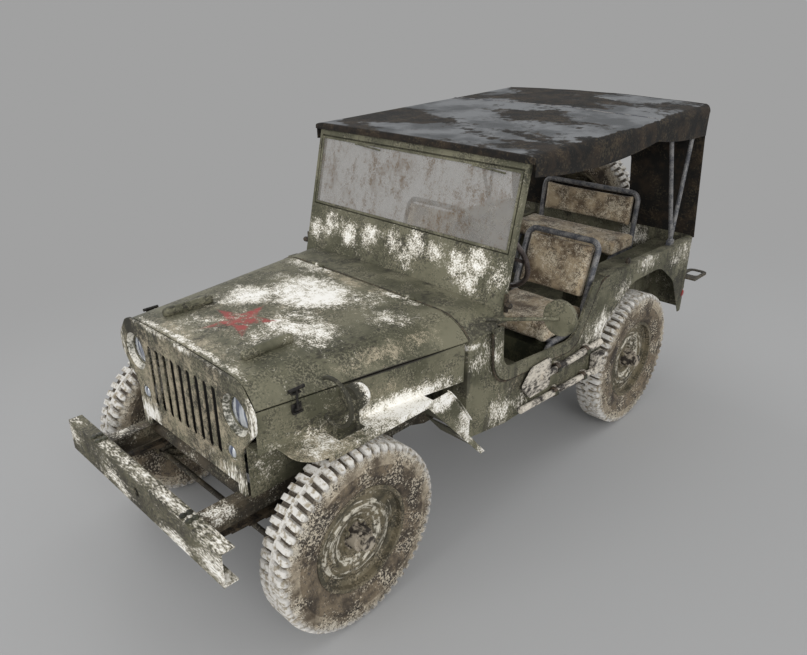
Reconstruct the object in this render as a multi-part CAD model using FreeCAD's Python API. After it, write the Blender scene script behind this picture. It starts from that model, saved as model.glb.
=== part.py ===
import FreeCAD, Part
import math
import os

# Light army 4x4 car, in millimetres.
# The model is drawn with x to the car's left, y to its rear and z up, the front axle
# at y = 0, the centre plane at x = 0 and the ground at z = 0.
# At the end everything is moved so that the origin lies under the middle of the whole car.

V = FreeCAD.Vector

# General values
OVERRUN = 20.0
CLEAR = 0.3
SHEET = 4.0
MOVING_GAP = 6.0
HALF_SHARE = 0.5
RIGHT_ANGLE = 90.0
FULL_TURN = 360.0

# Running gear
WHEELBASE = 2032.0
HALF_TRACK = 612.0
KINGPIN_X = 515.0

TYRE_RADIUS = 375.0
TYRE_WIDTH = 150.0
TYRE_FACETS = 28
TREAD_DEPTH = 14.0
TREAD_HALF = 60.0
SHOULDER_DROP = 16.0
SHOULDER_HALF = 69.0
BULGE_RADIUS = 285.0
LUG_LENGTH = 52.0
LUG_CROSSING = 14.0
LUG_OUTER = 72.0

RIM_RADIUS = 205.0
RIM_HALF = 56.0
RIM_FLANGE = 11.0
RIM_WALL = 5.0
RIM_WELL_DEPTH = 20.0
RIM_WELL_HALF = 26.0
RIM_SLOPE = 10.0
DISC_SHEET = 6.0
DISC_CROWN_RADIUS = 128.0
DISC_CROWN_X = 34.0
DISC_ROOT_RADIUS = 78.0
DISC_ROOT_X = 14.0
HUB_RADIUS = 46.0
HUB_END = 93.0
HUB_CAP_RADIUS = 32.0
HUB_CAP_LENGTH = 30.0

AXLE_TUBE_RADIUS = 38.0
DIFF_X = -180.0
DIFF_RADIUS = 118.0
DIFF_HALF = 62.0
DIFF_NOSE_RADIUS = 52.0
DIFF_NOSE_LENGTH = 70.0
KNUCKLE_BALL_RADIUS = 74.0
KNUCKLE_SHELL = 8.0
KINGPIN_RADIUS = 20.0
KINGPIN_HEIGHT = 118.0
SPINDLE_RADIUS = 26.0
BACKPLATE_RADIUS = 128.0
BACKPLATE_SHEET = 6.0
STEER_ARM = 165.0
STEER_ARM_WIDTH = 30.0
STEER_ARM_THICK = 16.0
TIE_ROD_RADIUS = 12.0
TIE_ROD_DROP = 22.0
TIE_ROD_PIN_RADIUS = 9.0
TIE_ROD_EYE_RADIUS = 20.0

# Frame
RAIL_OUTER = 376.0
RAIL_INNER = 318.0
RAIL_TOP = 560.0
RAIL_DEPTH = 80.0
RAIL_MID_DEPTH = 108.0
RAIL_MID_FRONT = 560.0
RAIL_MID_REAR = 1480.0
RAIL_MID_SLOPE = 90.0
RAIL_END = 2630.0
RAIL_SHEET = 5.0

BUMPER_FRONT = -520.0
BUMPER_HALF = 575.0
BUMPER_TOP = 580.0
BUMPER_BOTTOM = 439.0
BUMPER_DEPTH = 56.0
BUMPER_SHEET = 6.0
CRANK_HOLE_RADIUS = 20.0
CRANK_HOLE_Z = 516.0

CROSS_RADIUS = 30.0
CROSS_WALL = 5.0
FRONT_CROSS_Y = -235.0
MID_CROSS_Y = 1180.0
AXLE_CROSS_Y = 1830.0
REAR_CROSS_DEPTH = 60.0

SPRING_X = 349.0
SPRING_WIDTH = 44.0
SPRING_LEAF = 6.0
SPRING_LEAVES = 4
SPRING_HALF_FRONT = 430.0
SPRING_HALF_REAR = 520.0
SPRING_RISE = 14.0
SPRING_SEAT = 4.0
SHACKLE_SHEET = 8.0
SHACKLE_WIDTH = 36.0
EYE_RADIUS = 12.0
LEAF_STEP_SHARE = 0.17

# Body
BODY_HALF = 668.0
BODY_REAR = 2660.0
BODY_CORNER = 70.0
FLOOR_TOP = 570.0
SILL_Z = 490.0
COWL_FRONT = 629.0
COWL_REAR = 852.0
COWL_SIDE_Z = 950.0
RAIL_LINE_Z = 975.0
REAR_LINE_Z = 945.0
REAR_SILL_Z = 497.0
WELL_INNER = 430.0
WELL_TOP = 890.0
WELL_FRONT = 1640.0
RAIL_CAP_WIDTH = 48.0

DOOR_FRONT_Y = 806.0
DOOR_FRONT_TOP_Y = 792.0
DOOR_LOW_Z = 776.0
DOOR_LOW_REAR_Z = 728.0
DOOR_LOW_REAR_Y = 1362.0
DOOR_REAR_TOP_Y = 1512.0
DOOR_FRONT_CURVE = 80.0
DOOR_REAR_CURVE = 110.0
DOOR_TOP_CURVE = 120.0
DOOR_LIP = 58.0
LIP_PROUD = 9.0

ARCH_FRONT_Y = 1648.0
ARCH_SHOULDER_Z = 690.0
ARCH_TOP_FRONT_Y = 1915.0
ARCH_TOP_Z = 862.0
ARCH_TOP_REAR_Y = 2235.0
ARCH_KNEE_Y = 2430.0
ARCH_KNEE_Z = 735.0
ARCH_REAR_Y = 2571.0
ARCH_FRONT_CURVE = 80.0
ARCH_TOP_CURVE = 210.0
ARCH_KNEE_CURVE = 160.0

# Hood, cowl and grille
NOSE_Y = -283.0
NOSE_HALF = 458.0
NOSE_SIDE_Z = 943.0
NOSE_TOP = 1042.0
NOSE_EDGE = 1034.0
NOSE_REACH = 125.0
NOSE_DROP = 88.0
HOOD_REAR_HALF = 628.0
HOOD_REAR_EDGE = 1038.0
HOOD_REACH = 170.0
HOOD_DROP = 84.0
COWL_TOP = 1038.0
COWL_EDGE = 1026.0
COWL_REACH = 130.0
COWL_DROP = 72.0
COWL_CORNER = 50.0
HOOD_SHEET = 4.0
HOOD_GAP = 5.0
HOOD_BLOCK_X = 270.0
HOOD_BLOCK_FRONT = -165.0
HOOD_BLOCK_REAR = 22.0
HOOD_BLOCK_RADIUS = 20.0
HOOD_BLOCK_SINK = 10.0
HINGE_RADIUS = 6.0
HINGE_PIN_RADIUS = 2.5
HINGE_PIN_GAP = 0.3
HINGE_X = 296.0
HINGE_Z = 1047.5
HINGE_KNUCKLE = 24.0
HINGE_LEAF = 26.0
HINGE_LEAF_THICK = 5.0
HINGE_LEAF_SINK = 4.0

GRILLE_DEPTH = 12.0
GRILLE_FOOT = 40.0
LAMP_COLLAR = 6.0
GRILLE_BOTTOM = 601.0
GRILLE_TOP_HALF = 395.0
GRILLE_MAX_HALF = 470.0
GRILLE_MAX_TOP = 940.0
GRILLE_MAX_LOW = 865.0
GRILLE_WAIST_HALF = 368.0
GRILLE_WAIST_Z = 752.0
GRILLE_TOP_CURVE = 74.0
GRILLE_SIDE_CURVE = 60.0
GRILLE_WAIST_CURVE = 60.0
SLOT_COUNT = 9
SLOT_PITCH = 57.0
SLOT_WIDTH = 29.0
SLOT_BOTTOM = 686.0
SLOT_TOP = 957.0
HEADLAMP_X = 353.0
HEADLAMP_Z = 893.0
HEADLAMP_HOLE = 80.0
HEADLAMP_RADIUS = 64.0
HEADLAMP_RECESS = 28.0
HEADLAMP_BOWL = 70.0
LENS_RADIUS = 60.0
LENS_RISE = 9.0
MARKER_X = 308.0
MARKER_Z = 724.0
MARKER_HOLE = 34.0
MARKER_RADIUS = 30.0
MARKER_DEPTH = 46.0

RADIATOR_HALF = 245.0
RADIATOR_FRONT = -198.0
RADIATOR_THICK = 70.0
RADIATOR_BOTTOM = 610.0
RADIATOR_TOP = 1000.0
FAN_SHROUD = 18.0

# Fenders
FENDER_OUTER = 640.0
FENDER_TOP = 780.0
FENDER_FRONT = -206.0
FENDER_CORNER = 95.0
FENDER_BEND_Y = 408.0
FENDER_END_Y = 757.0
FENDER_END_Z = 378.0
FENDER_INNER = 386.0
FENDER_SKIRT = 26.0
FENDER_SHEET = 4.0

# Windscreen
SCREEN_FOOT_Y = 824.0
SCREEN_FOOT_Z = 1004.0
SCREEN_TOP_Y = 965.0
SCREEN_TOP_Z = 1623.0
SCREEN_HALF = 630.0
SCREEN_THICK = 24.0
SCREEN_POST = 16.0
SCREEN_HEADER = 46.0
SCREEN_PANEL = 246.0
SCREEN_PANEL_SHEET = 5.0
SCREEN_BELOW = 44.0
SCREEN_LIP = 12.0
SCREEN_LIP_THICK = 3.5
GLASS_BORDER = 10.0
GLASS_TOP_GAP = 7.5
GLASS_SHEET = 6.0
GLASS_PIN_RADIUS = 5.0
GLASS_PIN_DROP = 6.0
GLASS_FRAME_THICK = 12.0
WIPER_X = 360.0
WIPER_ARM = 170.0
WIPER_RADIUS = 4.0
WIPER_BOSS = 6.0
WIPER_DROP = 10.5

# Cabin
DASH_Y = 800.0
DASH_BOTTOM = 870.0
DASH_TOP = 990.0
DASH_HALF = 640.0
COLUMN_X = 350.0
COLUMN_BOX_Y = 110.0
COLUMN_BOX_Z = 600.0
STEER_Y = 1110.0
STEER_Z = 1140.0
COLUMN_RADIUS = 20.0
COLUMN_HOLE = 30.0
STEER_RADIUS = 198.0
STEER_RIM = 12.0
STEER_HUB_RADIUS = 30.0
STEER_HUB_LENGTH = 34.0
STEER_SPOKES = 3
STEER_SPOKE_RADIUS = 8.0

SEAT_INNER = 207.0
SEAT_OUTER = 640.0
SEAT_FRONT = 1170.0
SEAT_BOTTOM = 745.0
SEAT_TOP = 832.0
SEAT_TUBE = 15.0
BACK_FOOT_Y = 1520.0
BACK_FOOT_Z = 862.0
BACK_TOP_Y = 1612.0
BACK_TOP_Z = 1150.0
BACK_THICK = 54.0
PAD_ROUND = 24.0

REAR_SEAT_HALF = 372.0
REAR_SEAT_FRONT = 2250.0
REAR_SEAT_REAR = 2518.0
REAR_SEAT_BOTTOM = 842.0
REAR_SEAT_TOP = 925.0
REAR_BACK_Y = 2552.0
REAR_BACK_LEAN = 20.0
REAR_BACK_BOTTOM = 952.0
REAR_BACK_TOP = 1168.0
REAR_BACK_HALF = 340.0
REAR_BACK_THICK = 46.0

# Canvas top and bows
BOW_PIVOT_Y = 2378.0
BOW_PIVOT_Z = 980.0
BOW_X = 636.0
BOW_RADIUS = 11.0
FRONT_BOW_Y = 2161.0
REAR_BOW_Y = 2466.0
BOW_CURVE = 70.0
ROOF_FRONT_Y = 956.0
ROOF_FRONT_Z = 1634.0
ROOF_FRONT_CROWN = 4.0
ROOF_MID_Y = 1998.0
ROOF_MID_Z = 1682.0
ROOF_REAR_Y = 2556.0
ROOF_REAR_Z = 1704.0
ROOF_HALF = 660.0
ROOF_CROWN = 14.0
ROOF_CURVE = 34.0
ROOF_SHEET = 4.0
DROP_HIGH_FRONT = 1556.0
DROP_LOW_MID = 1520.0
DROP_HIGH_MID = 1566.0
DROP_LOW_REAR = 1528.0
DROP_MID_Y = 1415.0
DROP_JOIN_Y = 1985.0
DROP_REAR_MID_Y = 2330.0
CURTAIN_TOP_Y = 2548.0
CURTAIN_FOOT_Y = 2676.0
CURTAIN_FOOT_Z = 926.0
CURTAIN_HALF = 655.0
CURTAIN_SHEET = 4.0
WINDOW_HALF = 228.0
WINDOW_LOW = 1130.0
WINDOW_HIGH = 1373.0
WINDOW_CURVE = 30.0

# Spare wheel and rear fittings
SPARE_X = -190.0
SPARE_Z = 975.0
SPARE_Y = 2790.0

# Mirror
MIRROR_X = 860.0
MIRROR_Y = 900.0
MIRROR_Z = 1034.0
MIRROR_RADIUS = 74.0
MIRROR_DEPTH = 20.0
MIRROR_ARM_RADIUS = 8.0
MIRROR_FOOT_Y = 700.0
MIRROR_FOOT_Z = 985.0

# Driving masses
ENGINE_HALF = 165.0
ENGINE_FRONT = -70.0
ENGINE_REAR = 500.0
ENGINE_BOTTOM = 500.0
ENGINE_TOP = 930.0
GEARBOX_HALF = 110.0
GEARBOX_REAR = 1000.0
GEARBOX_TOP = 552.0
GEARBOX_BOTTOM = 390.0
TRANSFER_Y = 890.0
TRANSFER_LENGTH = 160.0
TRANSFER_HALF = 95.0
TRANSFER_BOTTOM = 330.0
SHAFT_RADIUS = 26.0
SHAFT_Z = 400.0
SHAFT_GAP = 1.3


# Lamp guard on the left fender
GUARD_X = 562.0
GUARD_LAMP_SET = 24.0
GUARD_Y = -18.0
GUARD_Z = 919.0
GUARD_RADIUS = 90.0
GUARD_BAR = 8.0
GUARD_FOOT = 30.0
GUARD_LAMP_Y = 66.0
GUARD_LAMP_RADIUS = 48.0
GUARD_LAMP_DEPTH = 70.0

# Levers
LEVER_X = 0.0
LEVER_Y = 960.0
LEVER_PITCH = 62.0
LEVER_LEAN = 90.0
LEVER_TOP = 880.0
LEVER_LOW_TOP = 800.0
LEVER_RADIUS = 8.0
LEVER_KNOB = 20.0
LEVER_HOLE = 22.0

STEER_BOX_HALF = 34.0
STEER_BOX_OUT = 26.0
STEER_BOX_LENGTH = 70.0
SEAT_BEND = 48.0
SEAT_LEG_SET = 44.0
SEAT_PIVOT_RADIUS = 17.0
SEAT_PIVOT_HALF = 22.0
SEAT_CROSS_RADIUS = 12.0
BOW_FOOT = 26.0

# Tools on the left side
TOOL_X = 692.0
TOOL_CLIP = 24.0
TOOL_CLIP_Y = (1215.0, 1470.0)
SHOVEL_TIP_Y = 930.0
SHOVEL_NECK_Y = 1158.0
SHOVEL_END_Y = 1599.0
SHOVEL_Z = 638.0
SHOVEL_HALF = 76.0
SHOVEL_POINT = 74.0
SHOVEL_SHEET = 5.0
SHOVEL_ROUND = 24.0
SHOVEL_HANDLE = 17.0
AXE_FRONT_Y = 932.0
AXE_FRONT_Z = 527.0
AXE_REAR_Y = 1636.0
AXE_REAR_Z = 488.0
AXE_HANDLE = 15.0
AXE_HEAD = 90.0
AXE_UP = 96.0

# Rear fittings
SPARE_POST_Z = 872.0
SPARE_POST_RADIUS = 24.0
SPARE_PLATE = 60.0
TAIL_X = 600.0
TAIL_Z = 612.0
TAIL_DEPTH = 30.0
TAIL_RADIUS = 36.0
LOOP_SET = 50.0
LOOP_OUT = 64.0
LOOP_REACH = 120.0
LOOP_Z = 702.0
LOOP_SHEET = 8.0
LOOP_BAND = 22.0
LOOP_CURVE = 40.0
PINTLE_PLATE = 38.0
PINTLE_NOTCH = 46.0
PINTLE_Z = 520.0
PINTLE_REACH = 96.0
PINTLE_HALF = 18.0
PINTLE_OUTER = 44.0
PINTLE_THROAT = 26.0
PINTLE_SHANK = 22.0

# Exhaust and fuel tank
EXHAUST_X = 455.0
EXHAUST_Z = 420.0
EXHAUST_INNER_X = 262.0
EXHAUST_PORT_Y = 420.0
EXHAUST_PORT_Z = 570.0
EXHAUST_CROSS_Y = 805.0
EXHAUST_END = 1560.0
EXHAUST_BEND = 42.0
EXHAUST_RADIUS = 22.0
SILENCER_FRONT = 880.0
SILENCER_LENGTH = 420.0
SILENCER_RADIUS = 62.0
TANK_INNER = 250.0
TANK_OUTER = 600.0
TANK_FRONT = 1235.0
TANK_REAR = 1440.0
TANK_TOP = 694.0
TANK_CAP = 28.0
TANK_CAP_HEIGHT = 16.0


def between(a, b, share):
    """Value at a share of the way from a to b."""
    return a + (b - a) * share


def slab(x0, x1, y0, y1, z0, z1):
    """Block between two corners."""
    return Part.makeBox(x1 - x0, y1 - y0, z1 - z0, V(x0, y0, z0))


def rod(start, end, radius):
    """Round bar between two points."""
    run = end.sub(start)
    return Part.makeCylinder(radius, run.Length, start, run)


def pipe(start, end, radius, wall):
    """Round tube between two points."""
    run = end.sub(start)
    bore = Part.makeCylinder(radius - wall, run.Length, start, run)
    return Part.makeCylinder(radius, run.Length, start, run).cut(bore)


def joined(shapes):
    """One shape from pieces that meet."""
    first = shapes[0]
    if len(shapes) == 1:
        return first
    return first.multiFuse(shapes[1:]).removeSplitter()


def apart(shapes):
    """One node from pieces that stand apart."""
    return Part.makeCompound(shapes)


def mirrored(shape):
    """The same piece on the car's other side."""
    return shape.mirror(V(0, 0, 0), V(1, 0, 0))


def corner_cut(before, corner, after, radius):
    """Start, middle and end of a tangent arc at a corner."""
    u = before.sub(corner).normalize()
    w = after.sub(corner).normalize()
    half = u.getAngle(w) / 2
    reach = radius / math.tan(half)
    middle = u.add(w).normalize()
    centre = corner.add(V(middle).multiply(radius / math.sin(half)))
    return (corner.add(V(u).multiply(reach)),
            centre.sub(V(middle).multiply(radius)),
            corner.add(V(w).multiply(reach)))


def rounded_wire(points, radii, closed=True):
    """Wire through points, with tangent arcs where a corner has a radius."""
    count = len(points)
    edges = []
    stops = []
    for i, corner in enumerate(points):
        inside = closed or 0 < i < count - 1
        if inside and radii[i] > 0:
            cut = corner_cut(points[i - 1], corner, points[(i + 1) % count], radii[i])
            edges.append((cut, len(stops)))
            stops.append((cut[0], cut[2], cut[1]))
        else:
            stops.append((corner, corner, None))
    parts = []
    last = count if closed else count - 1
    for i in range(count):
        start, end, middle = stops[i]
        if middle is not None:
            parts.append(Part.Arc(start, middle, end).toShape())
        if i < last:
            nxt = stops[(i + 1) % count][0]
            if nxt.sub(end).Length > CLEAR * CLEAR:
                parts.append(Part.LineSegment(end, nxt).toShape())
    return Part.Wire(parts)


def wire_yz(points, radii=None):
    """Closed outline in the side view."""
    places = [V(0, y, z) for y, z in points]
    return rounded_wire(places, radii or [0] * len(places))


def wire_xz(points, radii=None):
    """Closed outline in the front view."""
    places = [V(x, 0, z) for x, z in points]
    return rounded_wire(places, radii or [0] * len(places))


def wire_xy(points, radii=None):
    """Closed outline in the plan view."""
    places = [V(x, y, 0) for x, y in points]
    return rounded_wire(places, radii or [0] * len(places))


def prism_x(points, x0, x1, radii=None):
    """Side-view outline, as thick as from x0 to x1."""
    face = Part.Face(wire_yz(points, radii))
    face.translate(V(x0, 0, 0))
    return face.extrude(V(x1 - x0, 0, 0))


def prism_y(points, y0, y1, radii=None):
    """Front-view outline, as deep as from y0 to y1."""
    face = Part.Face(wire_xz(points, radii))
    face.translate(V(0, y0, 0))
    return face.extrude(V(0, y1 - y0, 0))


def prism_z(points, z0, z1, radii=None):
    """Plan outline, as high as from z0 to z1."""
    face = Part.Face(wire_xy(points, radii))
    face.translate(V(0, 0, z0))
    return face.extrude(V(0, 0, z1 - z0))


def bent_tube(points, bend, radius):
    """Round bar along straight runs joined by tangent arcs."""
    radii = [bend] * len(points)
    path = rounded_wire(points, radii, closed=False)
    run = points[1].sub(points[0])
    ring = Part.Wire(Part.makeCircle(radius, points[0], run))
    return path.makePipeShell([ring], True, False)


def turned(profile, base):
    """Solid of revolution about the axle line through base, from (along, radius) points."""
    places = [V(base.x + along, base.y, base.z + radius) for along, radius in profile]
    face = Part.Face(rounded_wire(places, [0] * len(places)))
    return face.revolve(base, V(1, 0, 0), FULL_TURN)


# Tyres and wheels


def tyre_profile():
    """Section of the carcass, as (along the axle, radius)."""
    tread = TYRE_RADIUS - TREAD_DEPTH
    side = TYRE_WIDTH / 2
    half = [(TREAD_HALF, tread), (SHOULDER_HALF, tread - SHOULDER_DROP), (side, BULGE_RADIUS),
            (RIM_HALF - RIM_WALL, RIM_RADIUS)]
    return half + [(-along, radius) for along, radius in reversed(half)]


def faceted_ring(profile, facets):
    """Ring with flat facets about the x axis; radii are measured to the middle of a facet."""
    step = 2 * math.pi / facets
    grow = 1 / math.cos(step / 2)
    rings = []
    for along, radius in profile:
        ring = []
        for i in range(facets):
            turn = (i + HALF_SHARE) * step
            ring.append(V(along, grow * radius * math.sin(turn), -grow * radius * math.cos(turn)))
        rings.append(ring)
    faces = []
    for j in range(len(profile)):
        here = rings[j]
        there = rings[(j + 1) % len(profile)]
        for i in range(facets):
            k = (i + 1) % facets
            loop = Part.makePolygon([here[i], here[k], there[k], there[i], here[i]])
            faces.append(Part.Face(loop))
    solid = Part.Solid(Part.Shell(faces))
    if solid.Volume < 0:
        solid.reverse()
    return solid


def tyre():
    """Tyre about the x axis, with bars that reach past the middle from each side in turn."""
    carcass = faceted_ring(tyre_profile(), TYRE_FACETS)
    root = TYRE_RADIUS - TREAD_DEPTH - SHOULDER_DROP
    lugs = []
    for i in range(TYRE_FACETS):
        side = 1 if i % 2 == 0 else -1
        x0, x1 = sorted((-side * LUG_CROSSING, side * LUG_OUTER))
        lug = slab(x0, x1, -LUG_LENGTH / 2, LUG_LENGTH / 2, -TYRE_RADIUS, -root)
        lug.rotate(V(0, 0, 0), V(1, 0, 0), i * FULL_TURN / TYRE_FACETS)
        lugs.append(lug)
    return carcass.multiFuse(lugs)


def wheel():
    """Rim, dished disc, hub and drum about the x axis, with the hub cap towards +x."""
    well = RIM_RADIUS - RIM_WELL_DEPTH
    flange = RIM_RADIUS + RIM_FLANGE
    lip = RIM_HALF + RIM_WALL
    wall = RIM_WALL
    rim = turned([
        (-lip, flange), (-RIM_HALF, flange), (-RIM_HALF, RIM_RADIUS - CLEAR),
        (-RIM_WELL_HALF - RIM_SLOPE, RIM_RADIUS - CLEAR), (-RIM_WELL_HALF, well),
        (RIM_WELL_HALF, well), (RIM_WELL_HALF + RIM_SLOPE, RIM_RADIUS - CLEAR),
        (RIM_HALF, RIM_RADIUS - CLEAR), (RIM_HALF, flange), (lip, flange),
        (lip, RIM_RADIUS - wall), (RIM_WELL_HALF + RIM_SLOPE, RIM_RADIUS - wall),
        (RIM_WELL_HALF + wall / 2, well - wall), (-RIM_WELL_HALF - wall / 2, well - wall),
        (-RIM_WELL_HALF - RIM_SLOPE, RIM_RADIUS - wall), (-lip, RIM_RADIUS - wall)], V(0, 0, 0))
    disc = turned([
        (RIM_WELL_HALF, well - wall / 2), (DISC_CROWN_X + DISC_SHEET, DISC_CROWN_RADIUS),
        (DISC_ROOT_X + DISC_SHEET, DISC_ROOT_RADIUS), (DISC_ROOT_X + DISC_SHEET, HUB_RADIUS),
        (HUB_END - HUB_CAP_LENGTH, HUB_RADIUS), (HUB_END - HUB_CAP_LENGTH, HUB_CAP_RADIUS),
        (HUB_END, HUB_CAP_RADIUS), (HUB_END, 0), (DISC_ROOT_X - DISC_SHEET, 0),
        (DISC_ROOT_X - DISC_SHEET, DISC_ROOT_RADIUS), (DISC_CROWN_X, DISC_CROWN_RADIUS),
        (RIM_WELL_HALF - DISC_SHEET, well - wall / 2)], V(0, 0, 0))
    return joined([rim, disc])


def placed(shape, side, x, y, z):
    """A wheel or tyre moved to its hub, turned round for the right side."""
    copy = shape.copy()
    if side < 0:
        copy = mirrored(copy)
    copy.translate(V(x, y, z))
    return copy


# Axles, knuckles and springs


def axle_pieces(y, half, nose):
    """Tube and offset differential, to be joined; nose is 1 where the pinion looks rearward."""
    z = TYRE_RADIUS
    tube = rod(V(-half, y, z), V(half, y, z), AXLE_TUBE_RADIUS)
    case = Part.makeSphere(DIFF_RADIUS, V(DIFF_X, y, z))
    band = slab(DIFF_X - DIFF_HALF, DIFF_X + DIFF_HALF, y - DIFF_RADIUS, y + DIFF_RADIUS,
                z - DIFF_RADIUS, z + DIFF_RADIUS)
    reach = y + nose * (DIFF_RADIUS + DIFF_NOSE_LENGTH)
    pinion = rod(V(DIFF_X, y, z), V(DIFF_X, reach, z), DIFF_NOSE_RADIUS)
    return [tube, case.common(band), pinion]


def knuckle():
    """Left knuckle: swivel housing, kingpin ends, spindle, backing plate and steering arm."""
    z = TYRE_RADIUS
    x = KINGPIN_X
    outer = Part.makeSphere(KNUCKLE_BALL_RADIUS, V(x, 0, z))
    core = KNUCKLE_BALL_RADIUS - KNUCKLE_SHELL
    hollow = Part.makeSphere(core, V(x, 0, z))
    inner_side = slab(x - KNUCKLE_BALL_RADIUS - OVERRUN, x - KNUCKLE_SHELL,
                      -KNUCKLE_BALL_RADIUS, KNUCKLE_BALL_RADIUS,
                      z - KNUCKLE_BALL_RADIUS, z + KNUCKLE_BALL_RADIUS)
    shell = outer.cut(hollow).cut(inner_side)
    top = rod(V(x, 0, z + core), V(x, 0, z + KINGPIN_HEIGHT - KINGPIN_RADIUS), KINGPIN_RADIUS)
    low = rod(V(x, 0, z - core), V(x, 0, z - KINGPIN_HEIGHT + KINGPIN_RADIUS), KINGPIN_RADIUS)
    plate_x = x + KNUCKLE_BALL_RADIUS - KNUCKLE_SHELL
    plate = rod(V(plate_x, 0, z), V(plate_x + BACKPLATE_SHEET, 0, z), BACKPLATE_RADIUS)
    spindle = rod(V(plate_x, 0, z),
                  V(HALF_TRACK + DISC_ROOT_X - DISC_SHEET - CLEAR, 0, z), SPINDLE_RADIUS)
    half = STEER_ARM_WIDTH / 2
    arm_z = z - KNUCKLE_BALL_RADIUS + KNUCKLE_SHELL
    arm = slab(x - half, x + half, -STEER_ARM, 0, arm_z - STEER_ARM_THICK, arm_z)
    eye = rod(V(x, -STEER_ARM, arm_z - STEER_ARM_THICK), V(x, -STEER_ARM, arm_z), half)
    pin = rod(V(x, -STEER_ARM, arm_z - STEER_ARM_THICK - TIE_ROD_DROP - TIE_ROD_RADIUS),
              V(x, -STEER_ARM, arm_z), TIE_ROD_PIN_RADIUS)
    return joined([shell, top, low, plate, spindle, arm, eye, pin])


def front_axle():
    """Front beam with its fixed swivel balls inside the knuckles."""
    z = TYRE_RADIUS
    core = KNUCKLE_BALL_RADIUS - KNUCKLE_SHELL - CLEAR
    shapes = axle_pieces(0, KINGPIN_X - core / 2, 1)
    for side in (-1, 1):
        shapes.append(Part.makeSphere(core, V(side * KINGPIN_X, 0, z)))
    return joined(shapes)


def rear_axle():
    """Rear beam with backing plates, and the spindle ends that the wheels turn on."""
    end = HALF_TRACK + DISC_ROOT_X - DISC_SHEET - CLEAR
    shapes = axle_pieces(WHEELBASE, KINGPIN_X, -1)
    plate_x = KINGPIN_X + KNUCKLE_BALL_RADIUS - KNUCKLE_SHELL
    for side in (-1, 1):
        foot = V(side * KINGPIN_X, WHEELBASE, TYRE_RADIUS)
        plate = V(side * plate_x, WHEELBASE, TYRE_RADIUS)
        outside = V(side * (plate_x + BACKPLATE_SHEET), WHEELBASE, TYRE_RADIUS)
        shapes.append(rod(foot, V(side * end, WHEELBASE, TYRE_RADIUS), SPINDLE_RADIUS))
        shapes.append(rod(plate, outside, BACKPLATE_RADIUS))
    return joined(shapes)


def tie_rod():
    """Track rod between the two steering arms, with an eye round each pin."""
    z = TYRE_RADIUS - KNUCKLE_BALL_RADIUS + KNUCKLE_SHELL - STEER_ARM_THICK - TIE_ROD_DROP
    y = -STEER_ARM
    shapes = [rod(V(-KINGPIN_X, y, z), V(KINGPIN_X, y, z), TIE_ROD_RADIUS)]
    holes = []
    for side in (-1, 1):
        x = side * KINGPIN_X
        low = V(x, y, z - TIE_ROD_RADIUS)
        high = V(x, y, z + TIE_ROD_RADIUS)
        shapes.append(rod(low, high, TIE_ROD_EYE_RADIUS))
        holes.append(rod(V(x, y, z - TIE_ROD_RADIUS - OVERRUN), V(x, y, z + TIE_ROD_RADIUS + OVERRUN),
                         TIE_ROD_PIN_RADIUS + CLEAR))
    return joined(shapes).cut(Part.makeCompound(holes))


def leaf(half, low, rise):
    """One curved leaf in the side view, from -half to half about y = 0, as outline arcs."""
    top = low + SPRING_LEAF
    bottom = Part.Arc(V(0, -half, low + rise), V(0, 0, low), V(0, half, low + rise)).toShape()
    upper = Part.Arc(V(0, half, top + rise), V(0, 0, top), V(0, -half, top + rise)).toShape()
    left = Part.LineSegment(V(0, -half, top + rise), V(0, -half, low + rise)).toShape()
    right = Part.LineSegment(V(0, half, low + rise), V(0, half, top + rise)).toShape()
    face = Part.Face(Part.Wire([bottom, right, upper, left]))
    return face.extrude(V(SPRING_WIDTH, 0, 0))


def spring_pack(y, half, x):
    """Leaf pack over an axle, longest leaf on top, with its seat and shackles to the rail."""
    base = TYRE_RADIUS + AXLE_TUBE_RADIUS + CLEAR
    seat_z = base + SPRING_SEAT
    leaves = []
    for i in range(SPRING_LEAVES):
        share = 1 - LEAF_STEP_SHARE * (SPRING_LEAVES - 1 - i)
        rise = SPRING_RISE * share * share
        one = leaf(half * share, seat_z + i * SPRING_LEAF, rise)
        one.translate(V(x - SPRING_WIDTH / 2, y, 0))
        leaves.append(one)
    seat = slab(x - SPRING_WIDTH / 2, x + SPRING_WIDTH / 2, y - AXLE_TUBE_RADIUS, y + AXLE_TUBE_RADIUS,
                base, seat_z)
    top = seat_z + SPRING_LEAVES * SPRING_LEAF + SPRING_RISE
    hangers = []
    for end in (-1, 1):
        ey = y + end * half
        eye = rod(V(x - SPRING_WIDTH / 2, ey, top - SPRING_LEAF / 2),
                  V(x + SPRING_WIDTH / 2, ey, top - SPRING_LEAF / 2), EYE_RADIUS)
        hangers.append(eye)
        for side in (-1, 1):
            inner = x + side * SPRING_WIDTH / 2
            outer = inner + side * SHACKLE_SHEET
            x0, x1 = sorted((inner, outer))
            hangers.append(slab(x0, x1, ey - SHACKLE_WIDTH / 2, ey + SHACKLE_WIDTH / 2,
                                top - SPRING_LEAF / 2 - EYE_RADIUS, rail_bottom(ey)))
    return joined(leaves + [seat] + hangers)


def leaf_springs():
    """The four leaf packs with their shackles."""
    packs = []
    for side in (-1, 1):
        packs.append(spring_pack(0, SPRING_HALF_FRONT, side * SPRING_X))
        packs.append(spring_pack(WHEELBASE, SPRING_HALF_REAR, side * SPRING_X))
    return apart(packs)


# Frame


def rail_bottom(y):
    """Underside of a side rail at y, outside its deep middle."""
    return RAIL_TOP - RAIL_DEPTH


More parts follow.
